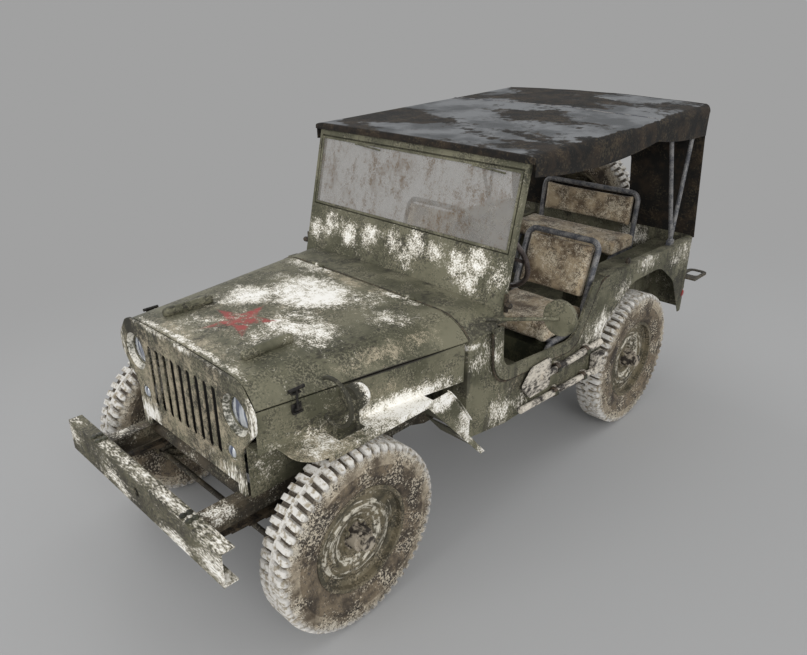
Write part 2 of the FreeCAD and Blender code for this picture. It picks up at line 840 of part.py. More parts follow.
def rail_outline(inset):
    """Side view of a rail, taken in by the sheet for its hollow."""
    top = RAIL_TOP - inset
    shallow = RAIL_TOP - RAIL_DEPTH + inset
    deep = RAIL_TOP - RAIL_MID_DEPTH + inset
    front = BUMPER_FRONT + BUMPER_SHEET
    return [(front, top), (front, shallow), (RAIL_MID_FRONT, shallow),
            (RAIL_MID_FRONT + RAIL_MID_SLOPE, deep), (RAIL_MID_REAR - RAIL_MID_SLOPE, deep),
            (RAIL_MID_REAR, shallow), (RAIL_END, shallow), (RAIL_END, top)]


def side_rail():
    """Left channel rail, open towards the middle."""
    solid = prism_x(rail_outline(0), RAIL_INNER, RAIL_OUTER)
    hollow = prism_x(rail_outline(RAIL_SHEET), RAIL_INNER - OVERRUN, RAIL_OUTER - RAIL_SHEET)
    return solid.cut(hollow)


def chassis_frame():
    """Two rails with round and channel cross members and the rear cross member."""
    rail = side_rail()
    shapes = [rail, mirrored(rail)]
    mid_z = RAIL_TOP - RAIL_DEPTH / 2
    reach = RAIL_OUTER - RAIL_SHEET
    for y in (FRONT_CROSS_Y, AXLE_CROSS_Y):
        shapes.append(pipe(V(-reach, y, mid_z), V(reach, y, mid_z), CROSS_RADIUS, CROSS_WALL))
    low = RAIL_TOP - RAIL_MID_DEPTH
    cross = slab(-reach, reach, MID_CROSS_Y, MID_CROSS_Y + REAR_CROSS_DEPTH, low, low + RAIL_SHEET)
    web = slab(-reach, reach, MID_CROSS_Y, MID_CROSS_Y + RAIL_SHEET, low, RAIL_TOP - RAIL_SHEET)
    shapes += [cross, web]
    back = slab(-RAIL_OUTER, RAIL_OUTER, RAIL_END - REAR_CROSS_DEPTH, RAIL_END,
                RAIL_TOP - RAIL_DEPTH, RAIL_TOP)
    hollow = slab(-reach, reach, RAIL_END - REAR_CROSS_DEPTH - OVERRUN, RAIL_END - RAIL_SHEET,
                  RAIL_TOP - RAIL_DEPTH + RAIL_SHEET, RAIL_TOP - RAIL_SHEET)
    shapes.append(back.cut(hollow))
    return joined(shapes)


def front_bumper():
    """Channel bumper, open to the rear, with the hole for the starting crank."""
    solid = slab(-BUMPER_HALF, BUMPER_HALF, BUMPER_FRONT, BUMPER_FRONT + BUMPER_DEPTH,
                 BUMPER_BOTTOM, BUMPER_TOP)
    hollow = slab(-BUMPER_HALF - OVERRUN, BUMPER_HALF + OVERRUN, BUMPER_FRONT + BUMPER_SHEET,
                  BUMPER_FRONT + BUMPER_DEPTH + OVERRUN, BUMPER_BOTTOM + BUMPER_SHEET,
                  BUMPER_TOP - BUMPER_SHEET)
    hole = rod(V(0, BUMPER_FRONT - OVERRUN, CRANK_HOLE_Z), V(0, BUMPER_FRONT + OVERRUN, CRANK_HOLE_Z),
               CRANK_HOLE_RADIUS)
    return solid.cut(hollow).cut(hole)


# Front sheet metal


def crown_section(y, half, low, edge, top, reach, drop):
    """Closed section across the car: low uprights, wide round shoulders and a crowned top."""
    radius = (reach ** 2 + drop ** 2) / (2 * drop)
    turn = math.atan2(reach, radius - drop) * HALF_SHARE
    left_low = V(half, y, low)
    left_up = V(half, y, edge - drop)
    left_mid = V(half - reach + radius * math.sin(turn), y, edge - radius + radius * math.cos(turn))
    left_in = V(half - reach, y, edge)
    crown = V(0, y, top)
    right = [V(-p.x, p.y, p.z) for p in (left_in, left_mid, left_up, left_low)]
    return Part.Wire([
        Part.LineSegment(left_low, left_up).toShape(),
        Part.Arc(left_up, left_mid, left_in).toShape(),
        Part.Arc(left_in, crown, right[0]).toShape(),
        Part.Arc(right[0], right[1], right[2]).toShape(),
        Part.LineSegment(right[2], right[3]).toShape(),
        Part.LineSegment(right[3], left_low).toShape()])


def crown_shell(front, rear, sheet, front_wall=False):
    """Open-bottomed shell between two crowned sections, each given as crown_section takes it."""
    outer = Part.makeLoft([crown_section(*front), crown_section(*rear)], True, True)
    inner = []
    slope = (rear[1] - front[1]) / (rear[0] - front[0])
    for section, shift in ((front, sheet if front_wall else -OVERRUN), (rear, OVERRUN)):
        y, half, low, edge, top, reach, drop = section
        inner.append(crown_section(y + shift, half + slope * shift - sheet, low - OVERRUN,
                                   edge - sheet, top - sheet, reach - sheet, drop - sheet))
    return outer.cut(Part.makeLoft(inner, True, True))


def nose_section(y):
    """Crowned section at the front of the hood."""
    return (y, NOSE_HALF, NOSE_SIDE_Z, NOSE_EDGE, NOSE_TOP, NOSE_REACH, NOSE_DROP)


def hood_rear_section(y):
    """Crowned section where hood and cowl meet."""
    return (y, HOOD_REAR_HALF, COWL_SIDE_Z, HOOD_REAR_EDGE, NOSE_TOP, HOOD_REACH, HOOD_DROP)


def hood_block(x):
    """Round-nosed block that the raised hood would rest on."""
    z = NOSE_TOP + HOOD_BLOCK_RADIUS - HOOD_BLOCK_SINK
    front = V(x, HOOD_BLOCK_FRONT, z)
    rear = V(x, HOOD_BLOCK_REAR, z)
    return joined([rod(front, rear, HOOD_BLOCK_RADIUS), Part.makeSphere(HOOD_BLOCK_RADIUS, front),
                   Part.makeSphere(HOOD_BLOCK_RADIUS, rear)])


def hood():
    """Pressed hood with two blocks on top and hinge knuckles at its rear edge."""
    shell = crown_shell(nose_section(NOSE_Y + GRILLE_DEPTH + HOOD_GAP),
                        hood_rear_section(COWL_FRONT - HOOD_GAP), HOOD_SHEET)
    shapes = [shell]
    for side in (-1, 1):
        shapes.append(hood_block(side * HOOD_BLOCK_X))
        shapes.append(hood_knuckle(side * HINGE_X))
    return joined(shapes)


def hinge_ring(x0, x1, reach):
    """One hinge knuckle between two x values with its leaf, which runs from the pin line by reach."""
    line = V(x0, COWL_FRONT - HOOD_GAP * HALF_SHARE, HINGE_Z)
    ring = rod(line, V(x1, line.y, line.z), HINGE_RADIUS)
    low = HINGE_Z - HINGE_RADIUS - HINGE_LEAF_SINK
    leaf = slab(x0, x1, min(line.y, line.y + reach), max(line.y, line.y + reach), low, low + HINGE_LEAF_THICK)
    return ring.fuse(leaf)


def hinge_pin(x, radius):
    """Pin of one hood hinge, or with a wider radius the bore round it."""
    half = HINGE_KNUCKLE * 3 * HALF_SHARE
    y = COWL_FRONT - HOOD_GAP * HALF_SHARE
    return rod(V(x - half, y, HINGE_Z), V(x + half, y, HINGE_Z), radius)


def hood_knuckle(x):
    """Middle knuckle of a hood hinge, bored for the pin."""
    half = HINGE_KNUCKLE * HALF_SHARE - CLEAR
    return hinge_ring(x - half, x + half, -HINGE_LEAF).cut(hinge_pin(x, HINGE_PIN_RADIUS + HINGE_PIN_GAP))


def cowl_knuckles(x):
    """Two outer knuckles of a hood hinge and the pin they hold."""
    inner = HINGE_KNUCKLE * HALF_SHARE
    outer = inner + HINGE_KNUCKLE
    return [hinge_ring(x - outer, x - inner, HINGE_LEAF), hinge_ring(x + inner, x + outer, HINGE_LEAF),
            hinge_pin(x, HINGE_PIN_RADIUS)]


def grille_outline(inset):
    """Front view of the grille, taken in by an inset."""
    top = NOSE_TOP - inset
    right = [(GRILLE_TOP_HALF - inset, NOSE_EDGE - inset), (GRILLE_MAX_HALF - inset, GRILLE_MAX_TOP),
             (GRILLE_MAX_HALF - inset, GRILLE_MAX_LOW), (GRILLE_WAIST_HALF - inset, GRILLE_WAIST_Z),
             (GRILLE_WAIST_HALF - inset, GRILLE_BOTTOM + inset)]
    left = [(-x, z) for x, z in reversed(right)]
    radii = [GRILLE_TOP_CURVE, GRILLE_SIDE_CURVE, GRILLE_SIDE_CURVE, GRILLE_WAIST_CURVE, 0]
    return [(0, top)] + right + left, [0] + radii + radii[::-1]


def grille():
    """Slotted grille pressing with deep edges and holes for the lamps."""
    points, radii = grille_outline(0)
    inner_points, inner_radii = grille_outline(SHEET)
    solid = prism_y(points, NOSE_Y, NOSE_Y + GRILLE_DEPTH, radii)
    hollow = prism_y(inner_points, NOSE_Y + SHEET, NOSE_Y + GRILLE_DEPTH + OVERRUN, inner_radii)
    cuts = [hollow]
    half = SLOT_WIDTH / 2
    for i in range(SLOT_COUNT):
        x = (i - (SLOT_COUNT - 1) / 2) * SLOT_PITCH
        corners = [(x - half, SLOT_BOTTOM), (x + half, SLOT_BOTTOM), (x + half, SLOT_TOP),
                   (x - half, SLOT_TOP)]
        cuts.append(prism_y(corners, NOSE_Y - OVERRUN, NOSE_Y + OVERRUN, [half - CLEAR] * len(corners)))
    for side in (-1, 1):
        cuts.append(rod(V(side * HEADLAMP_X, NOSE_Y - OVERRUN, HEADLAMP_Z),
                        V(side * HEADLAMP_X, NOSE_Y + OVERRUN, HEADLAMP_Z), HEADLAMP_HOLE))
        cuts.append(rod(V(side * MARKER_X, NOSE_Y - OVERRUN, MARKER_Z),
                        V(side * MARKER_X, NOSE_Y + OVERRUN, MARKER_Z), MARKER_HOLE))
    shapes = [solid.cut(Part.makeCompound(cuts))]
    for side in (-1, 1):
        x0, x1 = sorted((side * (GRILLE_WAIST_HALF - GRILLE_FOOT), side * GRILLE_WAIST_HALF))
        shapes.append(slab(x0, x1, NOSE_Y, NOSE_Y + GRILLE_DEPTH, RAIL_TOP, GRILLE_BOTTOM + SHEET))
    return joined(shapes)


def radiator():
    """Core with its header tank, behind the grille slots."""
    rear = RADIATOR_FRONT + RADIATOR_THICK
    core = slab(-RADIATOR_HALF, RADIATOR_HALF, RADIATOR_FRONT, rear, RADIATOR_BOTTOM, RADIATOR_TOP)
    foot = slab(-RAIL_OUTER, RAIL_OUTER, RADIATOR_FRONT, rear, RAIL_TOP, RADIATOR_BOTTOM)
    neck = rod(V(0, rear - RADIATOR_THICK / 2, RADIATOR_TOP),
               V(0, rear - RADIATOR_THICK / 2, RADIATOR_TOP + FAN_SHROUD), FAN_SHROUD)
    return joined([core, foot, neck])


def hood_side_x(y):
    """Half-width of the hood's lower edge line at y."""
    share = (y - NOSE_Y) / (COWL_FRONT - NOSE_Y)
    return between(NOSE_HALF, HOOD_REAR_HALF, share)


def fender():
    """Left fender: flat top that kicks down behind the wheel, hood-side panel and apron."""
    t = FENDER_SHEET
    path = [(FENDER_FRONT, FENDER_TOP - t), (FENDER_FRONT, FENDER_TOP),
            (FENDER_BEND_Y, FENDER_TOP), (FENDER_END_Y, FENDER_END_Z),
            (FENDER_END_Y - t, FENDER_END_Z - t), (FENDER_BEND_Y - t, FENDER_TOP - t)]
    plate = prism_x(path, FENDER_INNER, FENDER_OUTER)
    keep = prism_z([(FENDER_INNER, FENDER_FRONT), (FENDER_OUTER, FENDER_FRONT),
                    (FENDER_OUTER, FENDER_END_Y + OVERRUN), (FENDER_INNER, FENDER_END_Y + OVERRUN)],
                   0, NOSE_TOP, [0, FENDER_CORNER, 0, 0])
    plate = plate.common(keep)
    low = FENDER_SKIRT
    edge = [(FENDER_FRONT + FENDER_CORNER, FENDER_TOP), (FENDER_BEND_Y, FENDER_TOP),
            (FENDER_END_Y, FENDER_END_Z), (FENDER_END_Y - low, FENDER_END_Z - t),
            (FENDER_BEND_Y - low, FENDER_TOP - low), (FENDER_FRONT + FENDER_CORNER, FENDER_TOP - low)]
    skirt = prism_x(edge, FENDER_OUTER - t, FENDER_OUTER)
    side_low = FENDER_TOP - t
    rear = COWL_FRONT - HOOD_GAP
    panel_ends = []
    for y, top in ((NOSE_Y + GRILLE_DEPTH, NOSE_SIDE_Z), (rear, COWL_SIDE_Z)):
        x = hood_side_x(y)
        high = top - HOOD_GAP
        panel_ends.append(Part.makePolygon([V(x - t, y, side_low), V(x, y, side_low), V(x, y, high),
                                            V(x - t, y, high), V(x - t, y, side_low)]))
    panel = Part.makeLoft(panel_ends, True, True)
    apron = slab(FENDER_INNER, FENDER_INNER + t, NOSE_Y + GRILLE_DEPTH, rear, RAIL_TOP, FENDER_TOP)
    shelf = prism_z([(FENDER_INNER, NOSE_Y + GRILLE_DEPTH), (NOSE_HALF, NOSE_Y + GRILLE_DEPTH),
                     (NOSE_HALF, FENDER_FRONT + t), (FENDER_INNER, FENDER_FRONT + t)],
                    FENDER_TOP - t, FENDER_TOP)
    strip = prism_z([(FENDER_INNER, FENDER_BEND_Y - t), (hood_side_x(FENDER_BEND_Y), FENDER_BEND_Y - t),
                     (hood_side_x(rear), rear), (FENDER_INNER, rear)], FENDER_TOP - t, FENDER_TOP)
    outer, radii = plan_outline(-CLEAR)
    body = prism_z(outer, SILL_Z - CLEAR, NOSE_TOP, radii)
    return joined([plate, skirt, panel, apron, shelf, strip]).cut(body)


def lamp_can(x, z, radius, depth, front, collar=0):
    """Lamp body with a round back and a collar round its front, facing forward."""
    body = rod(V(x, front, z), V(x, front + depth * HALF_SHARE, z), radius)
    if collar > 0:
        body = body.fuse(rod(V(x, front, z), V(x, front + SHEET, z), collar))
    bowl = Part.makeSphere(radius, V(x, front + depth * HALF_SHARE, z))
    behind = slab(x - radius, x + radius, front + depth * HALF_SHARE, front + depth,
                  z - radius, z + radius)
    return joined([body, bowl.common(behind)])


def headlamp(x, front):
    """Headlamp with a flared ring, a domed lens set back in it and a round bowl behind."""
    z = HEADLAMP_Z
    rear = front + HEADLAMP_RECESS
    ring = rod(V(x, front, z), V(x, rear, z), HEADLAMP_HOLE + LAMP_COLLAR)
    flare = Part.makeCone(HEADLAMP_HOLE, HEADLAMP_RADIUS, HEADLAMP_RECESS, V(x, front, z), V(0, 1, 0))
    ring = ring.cut(flare)
    bowl = Part.makeSphere(HEADLAMP_BOWL, V(x, rear, z))
    reach = HEADLAMP_BOWL + OVERRUN
    bowl = bowl.cut(slab(x - reach, x + reach, rear - reach, rear, z - reach, z + reach))
    curve = (LENS_RADIUS ** 2 + LENS_RISE ** 2) / (2 * LENS_RISE)
    lens = Part.makeSphere(curve, V(x, rear - LENS_RISE + curve, z))
    lens = lens.common(rod(V(x, rear - LENS_RISE * 2, z), V(x, rear + SHEET, z), LENS_RADIUS))
    return joined([ring, bowl, lens])


def lamps():
    """Headlamps and marker lamps behind the grille."""
    front = NOSE_Y + SHEET + CLEAR
    shapes = []
    for side in (-1, 1):
        shapes.append(headlamp(side * HEADLAMP_X, front))
        shapes.append(lamp_can(side * MARKER_X, MARKER_Z, MARKER_RADIUS, MARKER_DEPTH, front,
                               MARKER_HOLE + LAMP_COLLAR))
    return apart(shapes)


def blackout_lamp():
    """Small lamp in its open brush guard on the left fender."""
    x = GUARD_X
    ring = Part.makeTorus(GUARD_RADIUS, GUARD_BAR, V(x, GUARD_Y, GUARD_Z), V(0, 1, 0))
    reach = GUARD_RADIUS * 2
    inside = slab(x - reach, hood_side_x(GUARD_Y + GUARD_BAR) + MOVING_GAP,
                  GUARD_Y - OVERRUN, GUARD_Y + OVERRUN, GUARD_Z - reach, GUARD_Z + reach)
    foot_z = FENDER_TOP + CLEAR
    lamp_x = x + GUARD_LAMP_SET
    foot = slab(x - GUARD_FOOT, x + GUARD_FOOT, GUARD_Y - GUARD_BAR, GUARD_LAMP_Y + GUARD_FOOT,
                foot_z, foot_z + SHEET)
    stem = rod(V(lamp_x, GUARD_LAMP_Y, foot_z), V(lamp_x, GUARD_LAMP_Y, GUARD_Z), GUARD_BAR)
    post = rod(V(x, GUARD_Y, foot_z), V(x, GUARD_Y, GUARD_Z - GUARD_RADIUS), GUARD_BAR)
    can = lamp_can(lamp_x, GUARD_Z, GUARD_LAMP_RADIUS, GUARD_LAMP_DEPTH, GUARD_LAMP_Y - GUARD_LAMP_DEPTH / 2)
    return joined([ring.cut(inside), foot, stem, post, can])


# Body tub


def plan_outline(inset):
    """Plan of the body sides and rear, taken in by the sheet."""
    half = BODY_HALF - inset
    front_half = HOOD_REAR_HALF - inset
    rear = BODY_REAR - inset
    curve = BODY_CORNER - inset
    front = COWL_FRONT - (OVERRUN if inset else 0)
    points = [(-front_half, front), (front_half, front), (half, COWL_REAR), (half, rear), (-half, rear),
              (-half, COWL_REAR)]
    return points, [0, 0, 0, curve, curve, 0]


def door_points(grow):
    """Corners of the door opening below the rail line, grown outward, from front to rear."""
    return [(DOOR_FRONT_TOP_Y - grow, RAIL_LINE_Z), (DOOR_FRONT_Y - grow, DOOR_LOW_Z - grow),
            (DOOR_LOW_REAR_Y + grow * HALF_SHARE, DOOR_LOW_REAR_Z - grow),
            (DOOR_REAR_TOP_Y + grow, RAIL_LINE_Z)]


def side_outline():
    """Side view of the body metal with its door openings and wheel arches."""
    points = [(COWL_FRONT, SILL_Z), (COWL_FRONT, COWL_SIDE_Z - CLEAR),
              (DOOR_FRONT_TOP_Y, COWL_SIDE_Z - CLEAR)]
    radii = [0, 0, 0]
    points += door_points(0)[1:]
    radii += [DOOR_FRONT_CURVE, DOOR_REAR_CURVE, DOOR_TOP_CURVE]
    points += [(BODY_REAR + OVERRUN, REAR_LINE_Z), (BODY_REAR + OVERRUN, REAR_SILL_Z),
               (ARCH_REAR_Y, REAR_SILL_Z), (ARCH_KNEE_Y, ARCH_KNEE_Z), (ARCH_TOP_REAR_Y, ARCH_TOP_Z),
               (ARCH_TOP_FRONT_Y, ARCH_TOP_Z), (ARCH_FRONT_Y, ARCH_SHOULDER_Z), (ARCH_FRONT_Y, SILL_Z)]
    radii += [0, 0, 0, ARCH_KNEE_CURVE, ARCH_TOP_CURVE, ARCH_TOP_CURVE, ARCH_FRONT_CURVE, 0]
    return points, radii


def door_lip(side):
    """Raised rolled band round a door opening."""
    x0, x1 = sorted((side * (BODY_HALF - SHEET), side * (BODY_HALF + LIP_PROUD)))
    radii = [0, DOOR_FRONT_CURVE + DOOR_LIP, DOOR_REAR_CURVE + DOOR_LIP * HALF_SHARE, DOOR_TOP_CURVE]
    outer = door_points(DOOR_LIP)
    band = prism_x(outer, x0, x1, [0, radii[1], radii[2], 0])
    hole = prism_x([(y, z + (OVERRUN if z == RAIL_LINE_Z else 0)) for y, z in door_points(0)],
                   x0 - OVERRUN, x1 + OVERRUN, [0, DOOR_FRONT_CURVE, DOOR_REAR_CURVE, 0])
    return band.cut(hole).cut(cowl_block(CLEAR))


def tub():
    """Body tub: sides and rear in one pressing, floor, wheel housings, toe board and rail caps."""
    outer, outer_radii = plan_outline(0)
    inner, inner_radii = plan_outline(SHEET)
    shell = prism_z(outer, SILL_Z, NOSE_TOP, outer_radii)
    shell = shell.cut(prism_z(inner, SILL_Z - OVERRUN, NOSE_TOP + OVERRUN, inner_radii))
    side, side_radii = side_outline()
    shell = shell.common(prism_x(side, -BODY_HALF - OVERRUN, BODY_HALF + OVERRUN, side_radii))
    floor = prism_z(inner, FLOOR_TOP - SHEET, FLOOR_TOP, inner_radii)
    floor = floor.cut(slab(-BODY_HALF, BODY_HALF, 0, COWL_FRONT, 0, NOSE_TOP))
    shapes = [shell]
    for s in (-1, 1):
        x0, x1 = sorted((s * WELL_INNER, s * BODY_HALF))
        floor = floor.cut(slab(x0, x1, WELL_FRONT, BODY_REAR, 0, NOSE_TOP))
        shapes.append(well_box(s))
        shapes.append(door_lip(s))
        shapes.append(rail_cap(s))
    firewall = prism_y([(-HOOD_REAR_HALF, FLOOR_TOP - SHEET), (HOOD_REAR_HALF, FLOOR_TOP - SHEET),
                        (HOOD_REAR_HALF, COWL_SIDE_Z - CLEAR), (-HOOD_REAR_HALF, COWL_SIDE_Z - CLEAR)],
                       COWL_FRONT, COWL_FRONT + SHEET)
    shapes += [floor, firewall]
    body = joined(shapes)
    notch = slab(-PINTLE_NOTCH, PINTLE_NOTCH, BODY_REAR - OVERRUN, BODY_REAR + OVERRUN,
                 REAR_SILL_Z - OVERRUN, FLOOR_TOP - SHEET)
    return body.cut(column_clearance()).cut(lever_holes()).cut(notch)


def well_box(side):
    """Wheel housing inside the body, open below."""
    x0, x1 = sorted((side * WELL_INNER, side * (BODY_HALF - SHEET)))
    box = slab(x0, x1, WELL_FRONT, BODY_REAR - SHEET, FLOOR_TOP - SHEET, WELL_TOP)
    outer, outer_radii = plan_outline(SHEET)
    box = box.common(prism_z(outer, 0, NOSE_TOP, outer_radii))
    x2, x3 = sorted((side * (WELL_INNER + SHEET), side * (BODY_HALF + OVERRUN)))
    hollow = slab(x2, x3, WELL_FRONT + SHEET, BODY_REAR + OVERRUN, SILL_Z, WELL_TOP - SHEET)
    return box.cut(hollow)


def rail_cap(side):
    """Flat cap along the top of a body side, behind the door opening."""
    x0, x1 = sorted((side * (BODY_HALF - RAIL_CAP_WIDTH), side * BODY_HALF))
    front = DOOR_REAR_TOP_Y + DOOR_TOP_CURVE
    drop = (RAIL_LINE_Z - REAR_LINE_Z) / (BODY_REAR + OVERRUN - DOOR_REAR_TOP_Y)
    high = RAIL_LINE_Z - drop * (front - DOOR_REAR_TOP_Y)
    low = RAIL_LINE_Z - drop * (BODY_REAR - DOOR_REAR_TOP_Y)
    cap = prism_x([(front, high), (BODY_REAR, low), (BODY_REAR, low - SHEET), (front, high - SHEET)], x0, x1)
    outer, outer_radii = plan_outline(0)
    return cap.common(prism_z(outer, 0, NOSE_TOP, outer_radii))


def column_line():
    """Foot and direction of the steering column."""
    foot = V(COLUMN_X, COLUMN_BOX_Y, COLUMN_BOX_Z)
    head = V(COLUMN_X, STEER_Y, STEER_Z)
    return foot, head


def column_clearance():
    """Hole for the steering column through firewall and dash."""
    foot, head = column_line()
    return rod(foot, head, COLUMN_HOLE)


def lever_holes():
    """Holes in the floor for the gear levers."""
    holes = []
    for x, y, tip_y, tip_z in lever_places():
        holes.append(rod(V(x, y, FLOOR_TOP - OVERRUN), V(x, y, FLOOR_TOP + OVERRUN), LEVER_HOLE))
    return Part.makeCompound(holes)


def lever_places():
    """Foot place and tip of each lever on the gearbox."""
    return [(LEVER_X, LEVER_Y, LEVER_Y + LEVER_LEAN, LEVER_TOP),
            (LEVER_X - LEVER_PITCH, LEVER_Y, LEVER_Y + LEVER_LEAN, LEVER_LOW_TOP),
            (LEVER_X - LEVER_PITCH * 2, LEVER_Y, LEVER_Y + LEVER_LEAN, LEVER_LOW_TOP)]


def cowl_block(grow):
    """Whole form of the cowl, grown by a clearance."""
    ends = []
    for y, half, low, edge, top, reach, drop in (hood_rear_section(COWL_FRONT), cowl_rear_section()):
        ends.append(crown_section(y, half + grow, low - grow, edge + grow, top + grow, reach + grow,
                                  drop + grow))
    return Part.makeLoft(ends, True, True)


def cowl_rear_section():
    """Crowned section at the rear edge of the cowl."""
    return (COWL_REAR, BODY_HALF, COWL_SIDE_Z, COWL_EDGE, COWL_TOP, COWL_REACH, COWL_DROP)


def door_corner_cut():
    """What the door openings take off the cowl's rear corners."""
    points = [(y, z) for y, z in door_points(0)]
    cuts = []
    for side in (-1, 1):
        x0, x1 = sorted((side * (BODY_HALF - COWL_CORNER), side * (BODY_HALF + OVERRUN)))
        cuts.append(prism_x(points, x0, x1, [0, DOOR_FRONT_CURVE, DOOR_REAR_CURVE, 0]))
    return Part.makeCompound(cuts)


def cowl():
    """Crowned cowl top with its front flange and the dash panel beneath."""
    shell = crown_shell(hood_rear_section(COWL_FRONT), cowl_rear_section(), SHEET, front_wall=True)
    share = (DASH_Y - COWL_FRONT) / (COWL_REAR - COWL_FRONT)
    inset = SHEET * HALF_SHARE
    edge = between(HOOD_REAR_EDGE, COWL_EDGE, share) - inset
    top = between(NOSE_TOP, COWL_TOP, share) - inset
    reach = between(HOOD_REACH, COWL_REACH, share) - inset
    drop = between(HOOD_DROP, COWL_DROP, share) - inset
    upper = Part.Face(crown_section(DASH_Y, cowl_side_x(DASH_Y) - inset, COWL_SIDE_Z + inset, edge, top,
                                    reach, drop)).extrude(V(0, SHEET, 0))
    lower = slab(-DASH_HALF, DASH_HALF, DASH_Y, DASH_Y + SHEET, DASH_BOTTOM, DASH_TOP)
    hinges = cowl_knuckles(-HINGE_X) + cowl_knuckles(HINGE_X)
    return joined([shell, upper, lower] + hinges).cut(column_clearance()).cut(door_corner_cut())


# Windscreen


def screen_basis():
    """Foot point, direction up the screen and direction out of its front."""
    foot = V(0, SCREEN_FOOT_Y, SCREEN_FOOT_Z)
    up = V(0, SCREEN_TOP_Y - SCREEN_FOOT_Y, SCREEN_TOP_Z - SCREEN_FOOT_Z)
    height = up.Length
    up.normalize()
    front = V(0, -up.z, up.y)
    return foot, up, front, height


def on_screen(shape):
    """Turn a piece drawn upright about the foot line to the screen's lean."""
    foot, up, front, height = screen_basis()
    lean = math.degrees(math.atan2(up.y, up.z))
    shape.rotate(V(0, 0, 0), V(1, 0, 0), -lean)
    shape.translate(foot)
    return shape


def screen_height():
    """Height of the screen along its slope."""
    return screen_basis()[3]


def windscreen_frame():
    """Outer frame with its header, lower panel and rear lip, cut below to stand on the cowl."""
    height = screen_height()
    half = SCREEN_HALF
    t = SCREEN_THICK
    frame = slab(-half, half, 0, t, -SCREEN_BELOW, height)
    inner = half - SCREEN_POST
    top = height - SCREEN_HEADER
    rebate = slab(-inner, inner, -OVERRUN, t - SCREEN_LIP_THICK, SCREEN_PANEL, top)
    window = slab(SCREEN_LIP - inner, inner - SCREEN_LIP, 0, t + OVERRUN, SCREEN_PANEL + SCREEN_LIP,
                  top - SCREEN_LIP)
    back = slab(-inner, inner, SCREEN_PANEL_SHEET, t + OVERRUN, -SCREEN_BELOW * 2,
                SCREEN_PANEL - SCREEN_PANEL_SHEET)
    return on_screen(frame.cut(rebate).cut(window).cut(back)).cut(cowl_block(CLEAR))


def glass_frame():
    """Swinging frame of the glass, hung from the header, with two wipers."""
    height = screen_height()
    top = height - SCREEN_HEADER - GLASS_TOP_GAP
    low = SCREEN_PANEL + MOVING_GAP
    half = SCREEN_HALF - SCREEN_POST - MOVING_GAP
    border = GLASS_BORDER
    frame = slab(-half, half, 0, GLASS_FRAME_THICK, low, top)
    window = slab(-half + border, half - border, -OVERRUN, GLASS_FRAME_THICK + OVERRUN,
                  low + border, top - border)
    shapes = [frame.cut(window)]
    for side in (-1, 1):
        edge = V(side * half, GLASS_FRAME_THICK / 2, top - GLASS_PIN_DROP)
        post = V(side * (SCREEN_HALF - SCREEN_POST - CLEAR), edge.y, edge.z)
        shapes.append(rod(edge, post, GLASS_PIN_RADIUS))
        pivot = V(side * WIPER_X, -WIPER_RADIUS, top - WIPER_DROP)
        tip = V(side * WIPER_X + WIPER_ARM, -WIPER_RADIUS * 2, top - WIPER_DROP * 2)
        shapes.append(rod(V(pivot.x, 0, pivot.z), V(pivot.x, -WIPER_BOSS, pivot.z), WIPER_BOSS))
        shapes.append(rod(pivot, tip, WIPER_RADIUS))
    return on_screen(joined(shapes))


def glass():
    """Pane held in the swinging frame."""
    height = screen_height()
    half = SCREEN_HALF - SCREEN_POST - MOVING_GAP - GLASS_BORDER
    low = SCREEN_PANEL + MOVING_GAP + GLASS_BORDER
    top = height - SCREEN_HEADER - GLASS_TOP_GAP - GLASS_BORDER
    y0 = (GLASS_FRAME_THICK - GLASS_SHEET) / 2
    return on_screen(slab(-half, half, y0, y0 + GLASS_SHEET, low, top))


# Cabin


def steering_column():
    """Column tube, steering box on the left rail and the bracket below the dash."""
    foot, head = column_line()
    run = head.sub(foot).normalize()
    end = head.sub(V(run).multiply(STEER_HUB_LENGTH / 2 + CLEAR))
    tube = rod(foot, end, COLUMN_RADIUS)
    box = slab(COLUMN_X - STEER_BOX_HALF, COLUMN_X + STEER_BOX_OUT, COLUMN_BOX_Y - STEER_BOX_LENGTH,
               COLUMN_BOX_Y + STEER_BOX_HALF, RAIL_TOP, COLUMN_BOX_Z + STEER_BOX_HALF)
    return joined([tube, box])


def steering_wheel():
    """Rim, three spokes and hub, square to the column."""
    foot, head = column_line()
    run = head.sub(foot).normalize()
    rim = Part.makeTorus(STEER_RADIUS, STEER_RIM, head, run)
    low = head.sub(V(run).multiply(STEER_HUB_LENGTH / 2))
    high = head.add(V(run).multiply(STEER_HUB_LENGTH / 2))
    shapes = [rim, rod(low, high, STEER_HUB_RADIUS)]
    for i in range(STEER_SPOKES):
        turn = FreeCAD.Rotation(run, i * FULL_TURN / STEER_SPOKES)
        arm = turn.multVec(V(STEER_RADIUS, 0, 0))
        shapes.append(rod(head, head.add(arm), STEER_SPOKE_RADIUS))
    return joined(shapes)


def seat_foot_y():
    """Where the hoop of a front seat meets its pan tubes."""
    lean = (BACK_TOP_Y - BACK_FOOT_Y) / (BACK_TOP_Z - BACK_FOOT_Z)
    return BACK_FOOT_Y - lean * (BACK_FOOT_Z - SEAT_BOTTOM + SEAT_TUBE + CLEAR)


def seat_pads():
    """Left seat: cushion and leaning back pad, kept clear of the tubes."""
    inner = SEAT_INNER + SEAT_TUBE * 2 + CLEAR
    outer = SEAT_OUTER - SEAT_TUBE * 2 - CLEAR
    rear = seat_foot_y() - SEAT_TUBE - CLEAR
    cushion = slab(SEAT_INNER, SEAT_OUTER, SEAT_FRONT, rear, SEAT_BOTTOM, SEAT_TOP)
    cushion = cushion.makeFillet(PAD_ROUND, long_edges(cushion))
    back = leaning_pad(inner, outer, V(0, BACK_FOOT_Y, BACK_FOOT_Z), V(0, BACK_TOP_Y, BACK_TOP_Z), BACK_THICK)
    return apart([cushion, back])


